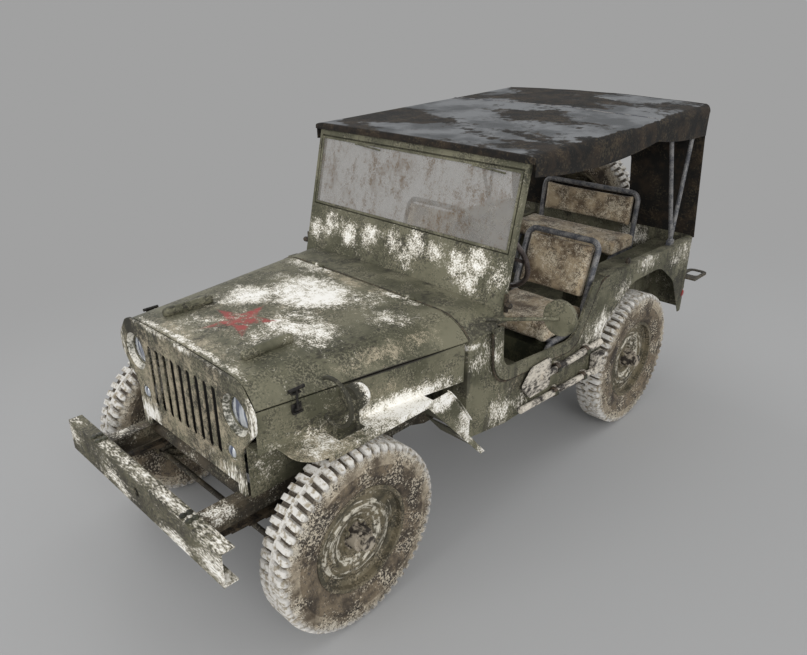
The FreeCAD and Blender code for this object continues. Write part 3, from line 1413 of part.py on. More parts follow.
def leaning_pad(x0, x1, foot, head, thick):
    """Back pad between two side tubes, its top corners rounded inside the hoop's bends."""
    run = head.sub(foot)
    length = run.Length - SEAT_TUBE * run.Length / run.z - SEAT_TUBE - CLEAR
    curve = SEAT_BEND - SEAT_TUBE
    pad = prism_y([(x0, 0), (x1, 0), (x1, length), (x0, length)], -thick / 2, thick / 2,
                  [curve / 2, curve / 2, curve, curve])
    pad.rotate(V(0, 0, 0), V(1, 0, 0), -math.degrees(math.atan2(run.y, run.z)))
    pad.translate(foot)
    return pad


def long_edges(box):
    """Edges of a block that run sideways or rearward along its top and bottom."""
    top = box.BoundBox.ZMax
    low = box.BoundBox.ZMin
    picked = []
    for edge in box.Edges:
        a = edge.Vertexes[0].Point.z
        b = edge.Vertexes[-1].Point.z
        if abs(a - b) < CLEAR and (abs(a - top) < CLEAR or abs(a - low) < CLEAR):
            picked.append(edge)
    return picked


def seat_frame():
    """Left seat: tube hoop round the back, pan tubes and legs down to the floor."""
    r = SEAT_TUBE
    lean = (BACK_TOP_Y - BACK_FOOT_Y) / (BACK_TOP_Z - BACK_FOOT_Z)
    x0 = SEAT_INNER + r
    x1 = SEAT_OUTER - r
    pan_z = SEAT_BOTTOM - r - CLEAR
    foot_y = seat_foot_y()
    top_y = BACK_TOP_Y - lean * r
    hoop = bent_tube([V(x0, foot_y, pan_z), V(x0, top_y, BACK_TOP_Z - r), V(x1, top_y, BACK_TOP_Z - r),
                      V(x1, foot_y, pan_z)], SEAT_BEND, r)
    shapes = [hoop]
    for x in (x0, x1):
        front_foot = V(x, SEAT_FRONT + SEAT_LEG_SET, FLOOR_TOP + SEAT_PIVOT_RADIUS)
        shapes.append(bent_tube([V(x, foot_y, pan_z), V(x, front_foot.y, pan_z), front_foot], SEAT_BEND, r))
        shapes.append(rod(V(x - SEAT_PIVOT_HALF, front_foot.y, front_foot.z),
                          V(x + SEAT_PIVOT_HALF, front_foot.y, front_foot.z), SEAT_PIVOT_RADIUS))
        shapes.append(rod(V(x, foot_y, pan_z), V(x, foot_y, FLOOR_TOP), r))
        shapes.append(Part.makeSphere(r, V(x, foot_y, pan_z)))
    cross_z = pan_z + r - SEAT_CROSS_RADIUS
    for y in (SEAT_FRONT + SEAT_LEG_SET * 2, foot_y):
        shapes.append(rod(V(x0, y, cross_z), V(x1, y, cross_z), SEAT_CROSS_RADIUS))
    return joined(shapes)


def rear_seat_pads():
    """Rear bench: cushion and back pad."""
    cushion = slab(-REAR_SEAT_HALF, REAR_SEAT_HALF, REAR_SEAT_FRONT, REAR_SEAT_REAR,
                   REAR_SEAT_BOTTOM, REAR_SEAT_TOP)
    cushion = cushion.makeFillet(PAD_ROUND, long_edges(cushion))
    inner = REAR_BACK_HALF - SEAT_TUBE * 2 - CLEAR
    back = leaning_pad(-inner, inner, V(0, REAR_BACK_Y, REAR_BACK_BOTTOM),
                       V(0, REAR_BACK_Y + REAR_BACK_LEAN, REAR_BACK_TOP), REAR_BACK_THICK)
    return apart([cushion, back])


def rear_seat_frame():
    """Rear bench: hoop round the back pad, pan and legs to the floor."""
    r = SEAT_TUBE
    x = REAR_BACK_HALF - r
    pan_z = REAR_SEAT_BOTTOM - r - CLEAR
    lean = REAR_BACK_LEAN / (REAR_BACK_TOP - REAR_BACK_BOTTOM)
    low_y = REAR_BACK_Y - lean * (REAR_BACK_BOTTOM - pan_z)
    top_y = REAR_BACK_Y + REAR_BACK_LEAN
    hoop = bent_tube([V(-x, low_y, pan_z), V(-x, top_y, REAR_BACK_TOP - r), V(x, top_y, REAR_BACK_TOP - r),
                      V(x, low_y, pan_z)], SEAT_BEND, r)
    shapes = [hoop]
    for side in (-x, x):
        shapes.append(bent_tube([V(side, low_y, pan_z), V(side, REAR_SEAT_FRONT + SEAT_LEG_SET, pan_z),
                                 V(side, REAR_SEAT_FRONT + SEAT_LEG_SET, FLOOR_TOP)], SEAT_BEND, r))
        shapes.append(rod(V(side, low_y, pan_z), V(side, low_y, FLOOR_TOP), r))
        shapes.append(Part.makeSphere(r, V(side, low_y, pan_z)))
    cross_z = pan_z + r - SEAT_CROSS_RADIUS
    for y in (REAR_SEAT_FRONT + SEAT_LEG_SET * 2, low_y):
        shapes.append(rod(V(-x, y, cross_z), V(x, y, cross_z), SEAT_CROSS_RADIUS))
    return joined(shapes)


# Canvas top


def roof_height(y):
    """Height of the canvas top's middle line at y."""
    if y < ROOF_MID_Y:
        return between(ROOF_FRONT_Z, ROOF_MID_Z, (y - ROOF_FRONT_Y) / (ROOF_MID_Y - ROOF_FRONT_Y))
    return between(ROOF_MID_Z, ROOF_REAR_Z, (y - ROOF_MID_Y) / (ROOF_REAR_Y - ROOF_MID_Y))


def roof_crown(y):
    """How far the canvas edge lies below its middle line at y."""
    share = min(1, (y - ROOF_FRONT_Y) / (ROOF_MID_Y - ROOF_FRONT_Y))
    return between(ROOF_FRONT_CROWN, ROOF_CROWN, share)


def roof_section(y, low, sheet):
    """Closed section of the canvas across the car, taken in by the sheet."""
    top = roof_height(y) - sheet
    curve = ROOF_CURVE - sheet
    return crown_section(y, ROOF_HALF - sheet, low, top - roof_crown(y), top, curve, curve)


def canvas_roof():
    """Canvas sheet over the bows with side drops cut in shallow waves."""
    base = DROP_LOW_MID - OVERRUN
    stations = (ROOF_FRONT_Y, ROOF_MID_Y, ROOF_REAR_Y)
    reach = (ROOF_FRONT_Y - OVERRUN, ROOF_MID_Y, ROOF_REAR_Y + OVERRUN)
    outer = Part.makeLoft([roof_section(y, base, 0) for y in stations], True, True)
    inner = Part.makeLoft([roof_section(y, base - OVERRUN, ROOF_SHEET) for y in reach], True, True)
    shell = outer.cut(inner)
    front = ROOF_FRONT_Y - OVERRUN
    rear = ROOF_REAR_Y + OVERRUN
    low = DROP_LOW_MID - OVERRUN * 2
    wave = [Part.Arc(V(0, front, DROP_HIGH_FRONT), V(0, DROP_MID_Y, DROP_LOW_MID),
                     V(0, DROP_JOIN_Y, DROP_HIGH_MID)).toShape(),
            Part.Arc(V(0, DROP_JOIN_Y, DROP_HIGH_MID), V(0, DROP_REAR_MID_Y, DROP_LOW_REAR),
                     V(0, rear, DROP_LOW_REAR)).toShape()]
    rest = Part.makePolygon([V(0, rear, DROP_LOW_REAR), V(0, rear, low), V(0, front, low),
                             V(0, front, DROP_HIGH_FRONT)])
    face = Part.Face(Part.Wire(wave + rest.Edges))
    face.translate(V(-BODY_HALF, 0, 0))
    return shell.cut(face.extrude(V(BODY_HALF * 2, 0, 0)))


def rear_curtain():
    """Leaning rear curtain with its window opening."""
    t = CURTAIN_SHEET
    top = ROOF_REAR_Z
    curtain = prism_x([(CURTAIN_TOP_Y, top), (CURTAIN_TOP_Y + t, top),
                       (CURTAIN_FOOT_Y, CURTAIN_FOOT_Z), (CURTAIN_FOOT_Y - t, CURTAIN_FOOT_Z)],
                      -CURTAIN_HALF, CURTAIN_HALF)
    under = Part.Face(roof_section(CURTAIN_TOP_Y - OVERRUN, 0, ROOF_SHEET + CLEAR))
    curtain = curtain.common(under.extrude(V(0, CURTAIN_FOOT_Y - CURTAIN_TOP_Y + OVERRUN * 2, 0)))
    corners = [(-WINDOW_HALF, WINDOW_LOW), (WINDOW_HALF, WINDOW_LOW), (WINDOW_HALF, WINDOW_HIGH),
               (-WINDOW_HALF, WINDOW_HIGH)]
    window = prism_y(corners, CURTAIN_TOP_Y - OVERRUN, CURTAIN_FOOT_Y + OVERRUN,
                     [WINDOW_CURVE] * len(corners))
    return curtain.cut(window)


def bow(top_y, edge_z, middle_z):
    """One bow from pivot to pivot, its top run raised a little at the middle under the canvas."""
    return bent_tube([V(-BOW_X, BOW_PIVOT_Y, BOW_PIVOT_Z), V(-BOW_X, top_y, edge_z), V(0, top_y, middle_z),
                      V(BOW_X, top_y, edge_z), V(BOW_X, BOW_PIVOT_Y, BOW_PIVOT_Z)], BOW_CURVE, BOW_RADIUS)


def top_bows():
    """Two bows in a V with their pivot brackets on the body sides."""
    shapes = []
    for y in (FRONT_BOW_Y, REAR_BOW_Y):
        under = roof_height(y) - ROOF_SHEET - BOW_RADIUS - CLEAR
        shapes.append(bow(y, under - roof_crown(y), under))
    for side in (-1, 1):
        x = side * BOW_X
        shapes.append(Part.makeSphere(BOW_RADIUS + SHEET, V(x, BOW_PIVOT_Y, BOW_PIVOT_Z)))
        shapes.append(slab(x - BOW_RADIUS, x + BOW_RADIUS, BOW_PIVOT_Y - BOW_FOOT, BOW_PIVOT_Y + BOW_FOOT,
                           rail_height(BOW_PIVOT_Y - BOW_FOOT), BOW_PIVOT_Z))
    return joined(shapes)


def rail_height(y):
    """Height of the body side's top line at y."""
    drop = (RAIL_LINE_Z - REAR_LINE_Z) / (BODY_REAR + OVERRUN - DOOR_REAR_TOP_Y)
    return RAIL_LINE_Z - drop * (y - DOOR_REAR_TOP_Y)


# Outside fittings


def mirror():
    """Round mirror on a level arm from the cowl side."""
    foot = V(cowl_side_x(MIRROR_FOOT_Y) - COWL_REACH, MIRROR_FOOT_Y, MIRROR_FOOT_Z)
    head = V(MIRROR_X, MIRROR_Y, MIRROR_Z)
    arm = rod(foot, head, MIRROR_ARM_RADIUS).cut(cowl_block(CLEAR))
    disc = rod(head, V(MIRROR_X, MIRROR_Y + MIRROR_DEPTH, MIRROR_Z), MIRROR_RADIUS)
    return joined([arm, disc])


def cowl_side_x(y):
    """Half-width of the cowl side at y."""
    share = (y - COWL_FRONT) / (COWL_REAR - COWL_FRONT)
    return between(HOOD_REAR_HALF, BODY_HALF, share)


def pioneer_tools():
    """Shovel and axe strapped along the left side."""
    outline = [(SHOVEL_TIP_Y, SHOVEL_Z), (SHOVEL_TIP_Y + SHOVEL_POINT, SHOVEL_Z + SHOVEL_HALF),
               (SHOVEL_NECK_Y, SHOVEL_Z + SHOVEL_HALF), (SHOVEL_NECK_Y, SHOVEL_Z - SHOVEL_HALF),
               (SHOVEL_TIP_Y + SHOVEL_POINT, SHOVEL_Z - SHOVEL_HALF)]
    blade = prism_x(outline, TOOL_X - SHOVEL_SHEET, TOOL_X, [SHOVEL_ROUND] * len(outline))
    handle = rod(V(TOOL_X, SHOVEL_NECK_Y - SHOVEL_POINT, SHOVEL_Z), V(TOOL_X, SHOVEL_END_Y, SHOVEL_Z),
                 SHOVEL_HANDLE)
    axe_bar = rod(V(TOOL_X, AXE_FRONT_Y, AXE_FRONT_Z), V(TOOL_X, AXE_REAR_Y, AXE_REAR_Z), AXE_HANDLE)
    head = prism_x([(AXE_REAR_Y - AXE_HEAD, AXE_REAR_Z + AXE_UP), (AXE_REAR_Y, AXE_REAR_Z + AXE_UP),
                    (AXE_REAR_Y, AXE_REAR_Z - AXE_HANDLE), (AXE_REAR_Y - AXE_HEAD, AXE_REAR_Z - AXE_HANDLE)],
                   TOOL_X - AXE_HANDLE, TOOL_X + AXE_HANDLE)
    return apart([joined([blade, handle] + tool_clips(SHOVEL_Z, SHOVEL_Z, SHOVEL_HANDLE)),
                  joined([axe_bar, head] + tool_clips(AXE_FRONT_Z, AXE_REAR_Z, AXE_HANDLE))])


def tool_clips(front_z, rear_z, radius):
    """Two clips that hold a handle to the body side."""
    clips = []
    for y in TOOL_CLIP_Y:
        z = between(front_z, rear_z, (y - AXE_FRONT_Y) / (AXE_REAR_Y - AXE_FRONT_Y))
        reach = radius + SHEET
        clips.append(slab(BODY_HALF + CLEAR, TOOL_X, y, y + TOOL_CLIP, z - reach, z + reach))
    return clips


def rear_fittings():
    """Spare wheel post, tow pintle, corner loops and tail lamps."""
    shapes = []
    plate_y = BODY_REAR
    post = V(SPARE_X, plate_y, SPARE_POST_Z)
    post_end = V(SPARE_X, SPARE_Y + DISC_ROOT_X - DISC_SHEET - CLEAR, SPARE_POST_Z)
    shapes.append(rod(post, post_end, SPARE_POST_RADIUS))
    shapes.append(slab(SPARE_X - SPARE_PLATE, SPARE_X + SPARE_PLATE, plate_y, plate_y + DISC_SHEET,
                       SPARE_POST_Z - SPARE_PLATE, SPARE_POST_Z + SPARE_PLATE))
    for side in (-1, 1):
        shapes.append(corner_loop(side))
        x = side * TAIL_X
        shapes.append(rod(V(x, plate_y, TAIL_Z), V(x, plate_y + TAIL_DEPTH, TAIL_Z), TAIL_RADIUS))
    shapes.append(pintle())
    return apart(shapes)


def corner_loop(side):
    """Flat loop handle at a rear corner, with a hole."""
    x0, x1 = sorted((side * (BODY_HALF - LOOP_SET), side * (BODY_HALF + LOOP_OUT)))
    y0 = BODY_REAR - BODY_CORNER
    y1 = BODY_REAR + LOOP_REACH
    corners = [(x0, y0), (x1, y0), (x1, y1), (x0, y1)]
    radii = [0, 0, LOOP_CURVE, LOOP_CURVE]
    loop = prism_z(corners, LOOP_Z, LOOP_Z + LOOP_SHEET, radii)
    b = LOOP_BAND
    corners = [(x0 + b, BODY_REAR), (x1 - b, BODY_REAR), (x1 - b, y1 - b), (x0 + b, y1 - b)]
    hole = prism_z(corners, LOOP_Z - OVERRUN, LOOP_Z + OVERRUN, [LOOP_CURVE / 2] * len(corners))
    body, body_radii = plan_outline(-CLEAR)
    return loop.cut(hole).cut(prism_z(body, 0, NOSE_TOP, body_radii))


def pintle():
    """Tow hook with its throat, on the rear cross member."""
    y0 = BODY_REAR
    plate = slab(-PINTLE_PLATE, PINTLE_PLATE, RAIL_END, RAIL_END + SHEET, PINTLE_Z - PINTLE_PLATE,
                 PINTLE_Z + PINTLE_PLATE)
    shank = rod(V(0, RAIL_END, PINTLE_Z), V(0, y0 + PINTLE_REACH - PINTLE_THROAT, PINTLE_Z), PINTLE_SHANK)
    eye = rod(V(-PINTLE_HALF, y0 + PINTLE_REACH, PINTLE_Z), V(PINTLE_HALF, y0 + PINTLE_REACH, PINTLE_Z),
              PINTLE_OUTER)
    hole = rod(V(-PINTLE_HALF - OVERRUN, y0 + PINTLE_REACH, PINTLE_Z),
               V(PINTLE_HALF + OVERRUN, y0 + PINTLE_REACH, PINTLE_Z), PINTLE_THROAT)
    return joined([plate, shank, eye]).cut(hole)


# Driving masses under the car


def engine_block():
    """Engine as one plain block on the frame."""
    block = slab(-ENGINE_HALF, ENGINE_HALF, ENGINE_FRONT, ENGINE_REAR, ENGINE_BOTTOM, ENGINE_TOP)
    mount = slab(-RAIL_INNER, RAIL_INNER, ENGINE_FRONT + OVERRUN, ENGINE_FRONT + OVERRUN * 2,
                 RAIL_TOP - RAIL_DEPTH / 2, RAIL_TOP)
    return joined([block, mount])


def drive_line():
    """Gearbox, transfer case, levers and the two propeller shafts."""
    box = slab(-GEARBOX_HALF, GEARBOX_HALF, ENGINE_REAR, GEARBOX_REAR, GEARBOX_BOTTOM, GEARBOX_TOP)
    transfer = slab(DIFF_X - TRANSFER_HALF, -GEARBOX_HALF + OVERRUN, TRANSFER_Y, TRANSFER_Y + TRANSFER_LENGTH,
                    TRANSFER_BOTTOM, GEARBOX_TOP - OVERRUN)
    nose = DIFF_RADIUS + DIFF_NOSE_LENGTH + SHAFT_GAP
    z = TYRE_RADIUS
    front = rod(V(DIFF_X, nose, z), V(DIFF_X, TRANSFER_Y, SHAFT_Z), SHAFT_RADIUS)
    rear = rod(V(DIFF_X, TRANSFER_Y + TRANSFER_LENGTH, SHAFT_Z), V(DIFF_X, WHEELBASE - nose, z), SHAFT_RADIUS)
    shapes = [box, transfer, front, rear]
    for x, y, tip_y, tip_z in lever_places():
        foot = V(x, y, GEARBOX_TOP - OVERRUN)
        elbow = V(x, y, FLOOR_TOP + OVERRUN)
        tip = V(x, tip_y, tip_z)
        shapes += [rod(foot, elbow, LEVER_RADIUS), rod(elbow, tip, LEVER_RADIUS),
                   Part.makeSphere(LEVER_RADIUS, elbow), Part.makeSphere(LEVER_KNOB, tip)]
    return joined(shapes)


def exhaust():
    """Exhaust pipe with its silencer under the right side."""
    z = EXHAUST_Z
    x = -EXHAUST_X
    inner = -EXHAUST_INNER_X
    pipe_run = bent_tube([V(-ENGINE_HALF - CLEAR, EXHAUST_PORT_Y, EXHAUST_PORT_Z),
                          V(inner, EXHAUST_PORT_Y, EXHAUST_PORT_Z), V(inner, EXHAUST_PORT_Y, z),
                          V(inner, EXHAUST_CROSS_Y, z), V(x, EXHAUST_CROSS_Y, z), V(x, EXHAUST_END, z)],
                         EXHAUST_BEND, EXHAUST_RADIUS)
    can = rod(V(x, SILENCER_FRONT, z), V(x, SILENCER_FRONT + SILENCER_LENGTH, z), SILENCER_RADIUS)
    return joined([pipe_run, can])


def fuel_tank():
    """Fuel tank in the floor under the driver's seat."""
    tank = slab(TANK_INNER, TANK_OUTER, TANK_FRONT, TANK_REAR, FLOOR_TOP + CLEAR, TANK_TOP)
    cap = rod(V(TANK_OUTER - TANK_CAP * 2, TANK_FRONT + TANK_CAP * 2, TANK_TOP),
              V(TANK_OUTER - TANK_CAP * 2, TANK_FRONT + TANK_CAP * 2, TANK_TOP + TANK_CAP_HEIGHT), TANK_CAP)
    return joined([tank, cap])


def all_nodes():
    """Every node by name, in the car's own coordinates."""
    nodes = {
        "chassis_frame": chassis_frame(), "front_bumper": front_bumper(), "tub": tub(),
        "cowl": cowl(), "grille": grille(), "radiator": radiator(), "hood": hood(),
        "front_lamps": lamps(), "blackout_lamp": blackout_lamp(), "windscreen_frame": windscreen_frame(),
        "glass_frame": glass_frame(), "glass": glass(), "mirror": mirror(),
        "steering_column": steering_column(), "steering_wheel": steering_wheel(),
        "rear_seat_frame": rear_seat_frame(), "rear_seat_pads": rear_seat_pads(),
        "top_bows": top_bows(), "canvas_roof": canvas_roof(), "rear_curtain": rear_curtain(),
        "pioneer_tools": pioneer_tools(), "rear_fittings": rear_fittings(),
        "engine_block": engine_block(), "drive_line": drive_line(), "exhaust": exhaust(),
        "fuel_tank": fuel_tank(), "leaf_springs": leaf_springs(), "front_axle": front_axle(),
        "rear_axle": rear_axle(), "tie_rod": tie_rod()}
    for name, build in (("fender", fender), ("knuckle", knuckle)):
        left = build()
        nodes[name + "_left"] = left
        nodes[name + "_right"] = mirrored(left)
    nodes["driver_seat_frame"] = seat_frame()
    nodes["driver_seat_pads"] = seat_pads()
    nodes["passenger_seat_frame"] = mirrored(seat_frame())
    nodes["passenger_seat_pads"] = mirrored(seat_pads())
    one_tyre = tyre()
    one_wheel = wheel()
    for end, y in (("front", 0), ("rear", WHEELBASE)):
        for side_name, side in (("left", 1), ("right", -1)):
            place = (side, side * HALF_TRACK, y, TYRE_RADIUS)
            nodes["tyre_" + end + "_" + side_name] = placed(one_tyre, *place)
            nodes["wheel_" + end + "_" + side_name] = placed(one_wheel, *place)
    for name, shape in (("spare_tyre", one_tyre), ("spare_wheel", one_wheel)):
        spare = shape.copy()
        spare.rotate(V(0, 0, 0), V(0, 0, 1), RIGHT_ANGLE)
        spare.translate(V(SPARE_X, SPARE_Y, SPARE_Z))
        nodes[name] = spare
    return nodes


def export(nodes):
    """Move every node to the shared origin and write one file for each."""
    right_end = -(BODY_HALF + LOOP_OUT)
    left_end = MIRROR_X + MIRROR_RADIUS
    rear_end = SPARE_Y + HUB_END
    shift = V(-(right_end + left_end) / 2, -(BUMPER_FRONT + rear_end) / 2, 0)
    os.makedirs("parts", exist_ok=True)
    for name, shape in nodes.items():
        shape.translate(shift)
        shape.exportStep("parts/" + name + ".step")


export(all_nodes())
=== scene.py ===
"""Dresses the light army 4x4 car: winter paint, canvas, padding, tread, trim, light and camera."""
import logging
import math
from dataclasses import dataclass, field, replace
from enum import Enum
from typing import Optional, Sequence

import bmesh
import bpy
from bmesh.types import BMesh
from bpy.types import ID, Material, Mesh, Node, NodeSocket, NodeTree, Object
from mathutils import Matrix, Vector, noise


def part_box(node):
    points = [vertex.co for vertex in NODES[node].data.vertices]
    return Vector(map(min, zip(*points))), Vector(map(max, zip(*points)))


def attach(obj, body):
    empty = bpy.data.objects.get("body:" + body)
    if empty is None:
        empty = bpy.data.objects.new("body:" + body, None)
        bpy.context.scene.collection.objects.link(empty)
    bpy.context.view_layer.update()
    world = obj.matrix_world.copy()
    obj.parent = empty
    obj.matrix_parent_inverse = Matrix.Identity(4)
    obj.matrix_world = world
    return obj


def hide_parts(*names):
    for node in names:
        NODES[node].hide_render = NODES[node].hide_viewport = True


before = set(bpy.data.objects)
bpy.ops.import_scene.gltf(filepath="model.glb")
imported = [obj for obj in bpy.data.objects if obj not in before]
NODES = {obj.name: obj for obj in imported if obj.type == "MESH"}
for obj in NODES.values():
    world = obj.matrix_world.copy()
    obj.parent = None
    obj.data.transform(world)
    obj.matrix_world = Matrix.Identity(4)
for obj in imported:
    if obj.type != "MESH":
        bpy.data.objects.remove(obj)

LOG = logging.getLogger("army_car")
MM = 1000.0  # millimetres in a metre
WELD = 1e-6  # metres within which doubles merge
ALL_SMOOTH = 180.0  # shading angle that leaves no sharp edge
SIDES = (1, -1)  # the car's left and right
FORWARD, REARWARD, UP = (0, -1, 0), (0, 1, 0), (0, 0, 1)
FLOAT, VECTOR = "NodeSocketFloat", "NodeSocketVector"
MIX_SHARE, MIX_LOW, MIX_HIGH, MIX_RESULT = 0, 6, 7, 2  # the Mix node's sockets for colours
WHEELS = ("wheel_front_left", "wheel_front_right", "wheel_rear_left", "wheel_rear_right", "spare_wheel")
Triple = tuple[float, float, float]
Colour = tuple[float, float, float, float]


def middle(node: str) -> Vector:
    """Middle of a node's box, in metres."""
    low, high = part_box(node)
    return (low + high) / 2


ORIGIN = Vector((middle("grille").x, middle("tyre_front_left").y, 0.0))


def car(x: float, y: float, z: float) -> Vector:
    """Place a point given in millimetres from the middle of the front axle line.

    Args:
        x: Millimetres to the car's left.
        y: Millimetres behind the front axle.
        z: Millimetres above the ground.

    Returns:
        The point in the scene's metres.
    """
    return ORIGIN + Vector((x, y, z)) / MM


def tint(red: int, green: int, blue: int) -> Colour:
    """Turn a screen colour of 0 to 255 a channel into the shader's linear colour."""
    def linear(channel: float) -> float:
        """One channel in linear light."""
        return channel / 12.92 if channel <= 0.04045 else ((channel + 0.055) / 1.055) ** 2.4
    return linear(red / 255), linear(green / 255), linear(blue / 255), 1.0


OLIVE = tint(112, 109, 89)
OLIVE_DEEP = tint(78, 77, 59)
OLIVE_DARK = tint(44, 43, 34)
OLIVE_WORN = tint(150, 144, 122)
WASH = tint(212, 205, 189)
WASH_BRIGHT = tint(250, 248, 242)
DUST = tint(178, 166, 142)
# Dark colour of soot and runs, also used for the painted shade along panel seams.
SOOT_AND_SHADE = tint(38, 35, 29)
STAR_RED = tint(158, 62, 60)


# Shader building


class Graph:
    """Short calls for adding nodes to one node tree."""

    def __init__(self, tree: NodeTree) -> None:
        """Keep the tree that the nodes go to."""
        self.tree = tree

    def add(self, kind: str, **settings: object) -> Node:
        """Add one node and set its properties.

        Args:
            kind: The node's type.
            settings: Properties by name.

        Returns:
            The new node.
        """
        node = self.tree.nodes.new(kind)
        for name, value in settings.items():
            setattr(node, name, value)
        return node

    def feed(self, target: NodeSocket, value: object) -> None:
        """Link a socket to an input, or set the input to a plain value."""
        if isinstance(value, NodeSocket):
            self.tree.links.new(value, target)
        elif value is not None:
            target.default_value = value

    def fill(self, node: Node, **values: object) -> Node:
        """Feed a node's inputs by name, an underscore standing for a space, and return the node."""
        for name, value in values.items():
            self.feed(node.inputs[name.replace("_", " ")], value)
        return node

    def math(self, operation: str, *values: object, clamp: bool = False) -> NodeSocket:
        """Add a Math node and return its result."""
        node = self.add("ShaderNodeMath", operation=operation, use_clamp=clamp)
        for socket, value in zip(node.inputs, values):
            self.feed(socket, value)
        return node.outputs[0]

    def times(self, first: object, second: object) -> NodeSocket:
        """Product of two values."""
        return self.math("MULTIPLY", first, second)

    def vector(self, operation: str, *values: object) -> Node:
        """Add a Vector Math node."""
        node = self.add("ShaderNodeVectorMath", operation=operation)
        for socket, value in zip(node.inputs, values):
            self.feed(socket, value)
        return node

    def blend(self, share: object, low: object, high: object) -> NodeSocket:
        """Mix two colours by a share."""
        node = self.add("ShaderNodeMix", data_type="RGBA")
        for index, value in ((MIX_SHARE, share), (MIX_LOW, low), (MIX_HIGH, high)):
            self.feed(node.inputs[index], value)
        return node.outputs[MIX_RESULT]

    def noise(self, place: object, scale: object, detail: float = 4.0, rough: float = 0.55) -> NodeSocket:
        """Add a noise pattern and return its value of 0 to 1."""
        node = self.add("ShaderNodeTexNoise")
        return self.fill(node, Vector=place, Scale=scale, Detail=detail, Roughness=rough).outputs["Fac"]

    def step(self, value: object, low: object, high: object) -> NodeSocket:
        """Rise smoothly from 0 to 1 between two values."""
        node = self.add("ShaderNodeMapRange", interpolation_type="SMOOTHSTEP", clamp=True)
        return self.fill(node, Value=value, From_Min=low, From_Max=high).outputs["Result"]

    def fall(self, value: object, low: object, high: object) -> NodeSocket:
        """Fall smoothly from 1 to 0 between two values."""
        return self.math("SUBTRACT", 1.0, self.step(value, low, high))

    def scaled(self, value: object, factor: float, plus: float) -> NodeSocket:
        """Multiply a value and add to it."""
        return self.math("ADD", self.times(value, factor), plus)

    def about(self, value: object, centre: float, factor: float) -> NodeSocket:
        """How far a value lies from a centre, made stronger or weaker."""
        return self.times(self.math("SUBTRACT", value, centre), factor)

    def total(self, first: object, *others: object) -> NodeSocket:
        """Sum of several values."""
        for value in others:
            first = self.math("ADD", first, value)
        return first

    def split(self, place: object) -> Sequence[NodeSocket]:
        """The three values of a vector."""
        return self.fill(self.add("ShaderNodeSeparateXYZ"), Vector=place).outputs

    def coat(self, colour: object, mask: object, over: object, share: float = 1.0) -> NodeSocket:
        """Lay a colour over another where the mask is, at most as strong as the share."""
        return self.blend(mask if share == 1.0 else self.times(mask, share), colour, over)

    def cloud(self, place: object, scale: float, low: float, high: float, detail: float = 4.0,
              rough: float = 0.55) -> NodeSocket:
        """Add a noise pattern that rises from 0 to 1 between two of its values."""
        return self.step(self.noise(place, scale, detail, rough), low, high)

    def stretched(self, place: object, scale: Triple) -> NodeSocket:
        """Scale a place along its axes, for drawn-out patterns."""
        return self.vector("MULTIPLY", place, scale).outputs[0]

    def combine(self, *parts: object) -> NodeSocket:
        """Put three values into one vector."""
        node = self.add("ShaderNodeCombineXYZ")
        for socket, value in zip(node.inputs, parts):
            self.feed(socket, value)
        return node.outputs[0]

    def group(self, tree: NodeTree, **values: object) -> Node:
        """Place a shader group and feed its inputs by name."""
        return self.fill(self.add("ShaderNodeGroup", node_tree=tree), **values)


def new_group(name: str, inputs: dict[str, str], outputs: dict[str, str],
              kind: str = "ShaderNodeTree") -> tuple[Graph, Node, Node]:
    """Start a node group with named sockets.

    Args:
        name: The group's name.
        inputs: Socket type by input name.
        outputs: Socket type by output name.
        kind: The type of tree.

    Returns:
        The graph, its input node and its output node.
    """
    tree = bpy.data.node_groups.new(name, kind)
    for way, sockets in (("INPUT", inputs), ("OUTPUT", outputs)):
        for label, socket in sockets.items():
            tree.interface.new_socket(label, in_out=way, socket_type=socket)
    graph = Graph(tree)
    return graph, graph.add("NodeGroupInput"), graph.add("NodeGroupOutput")


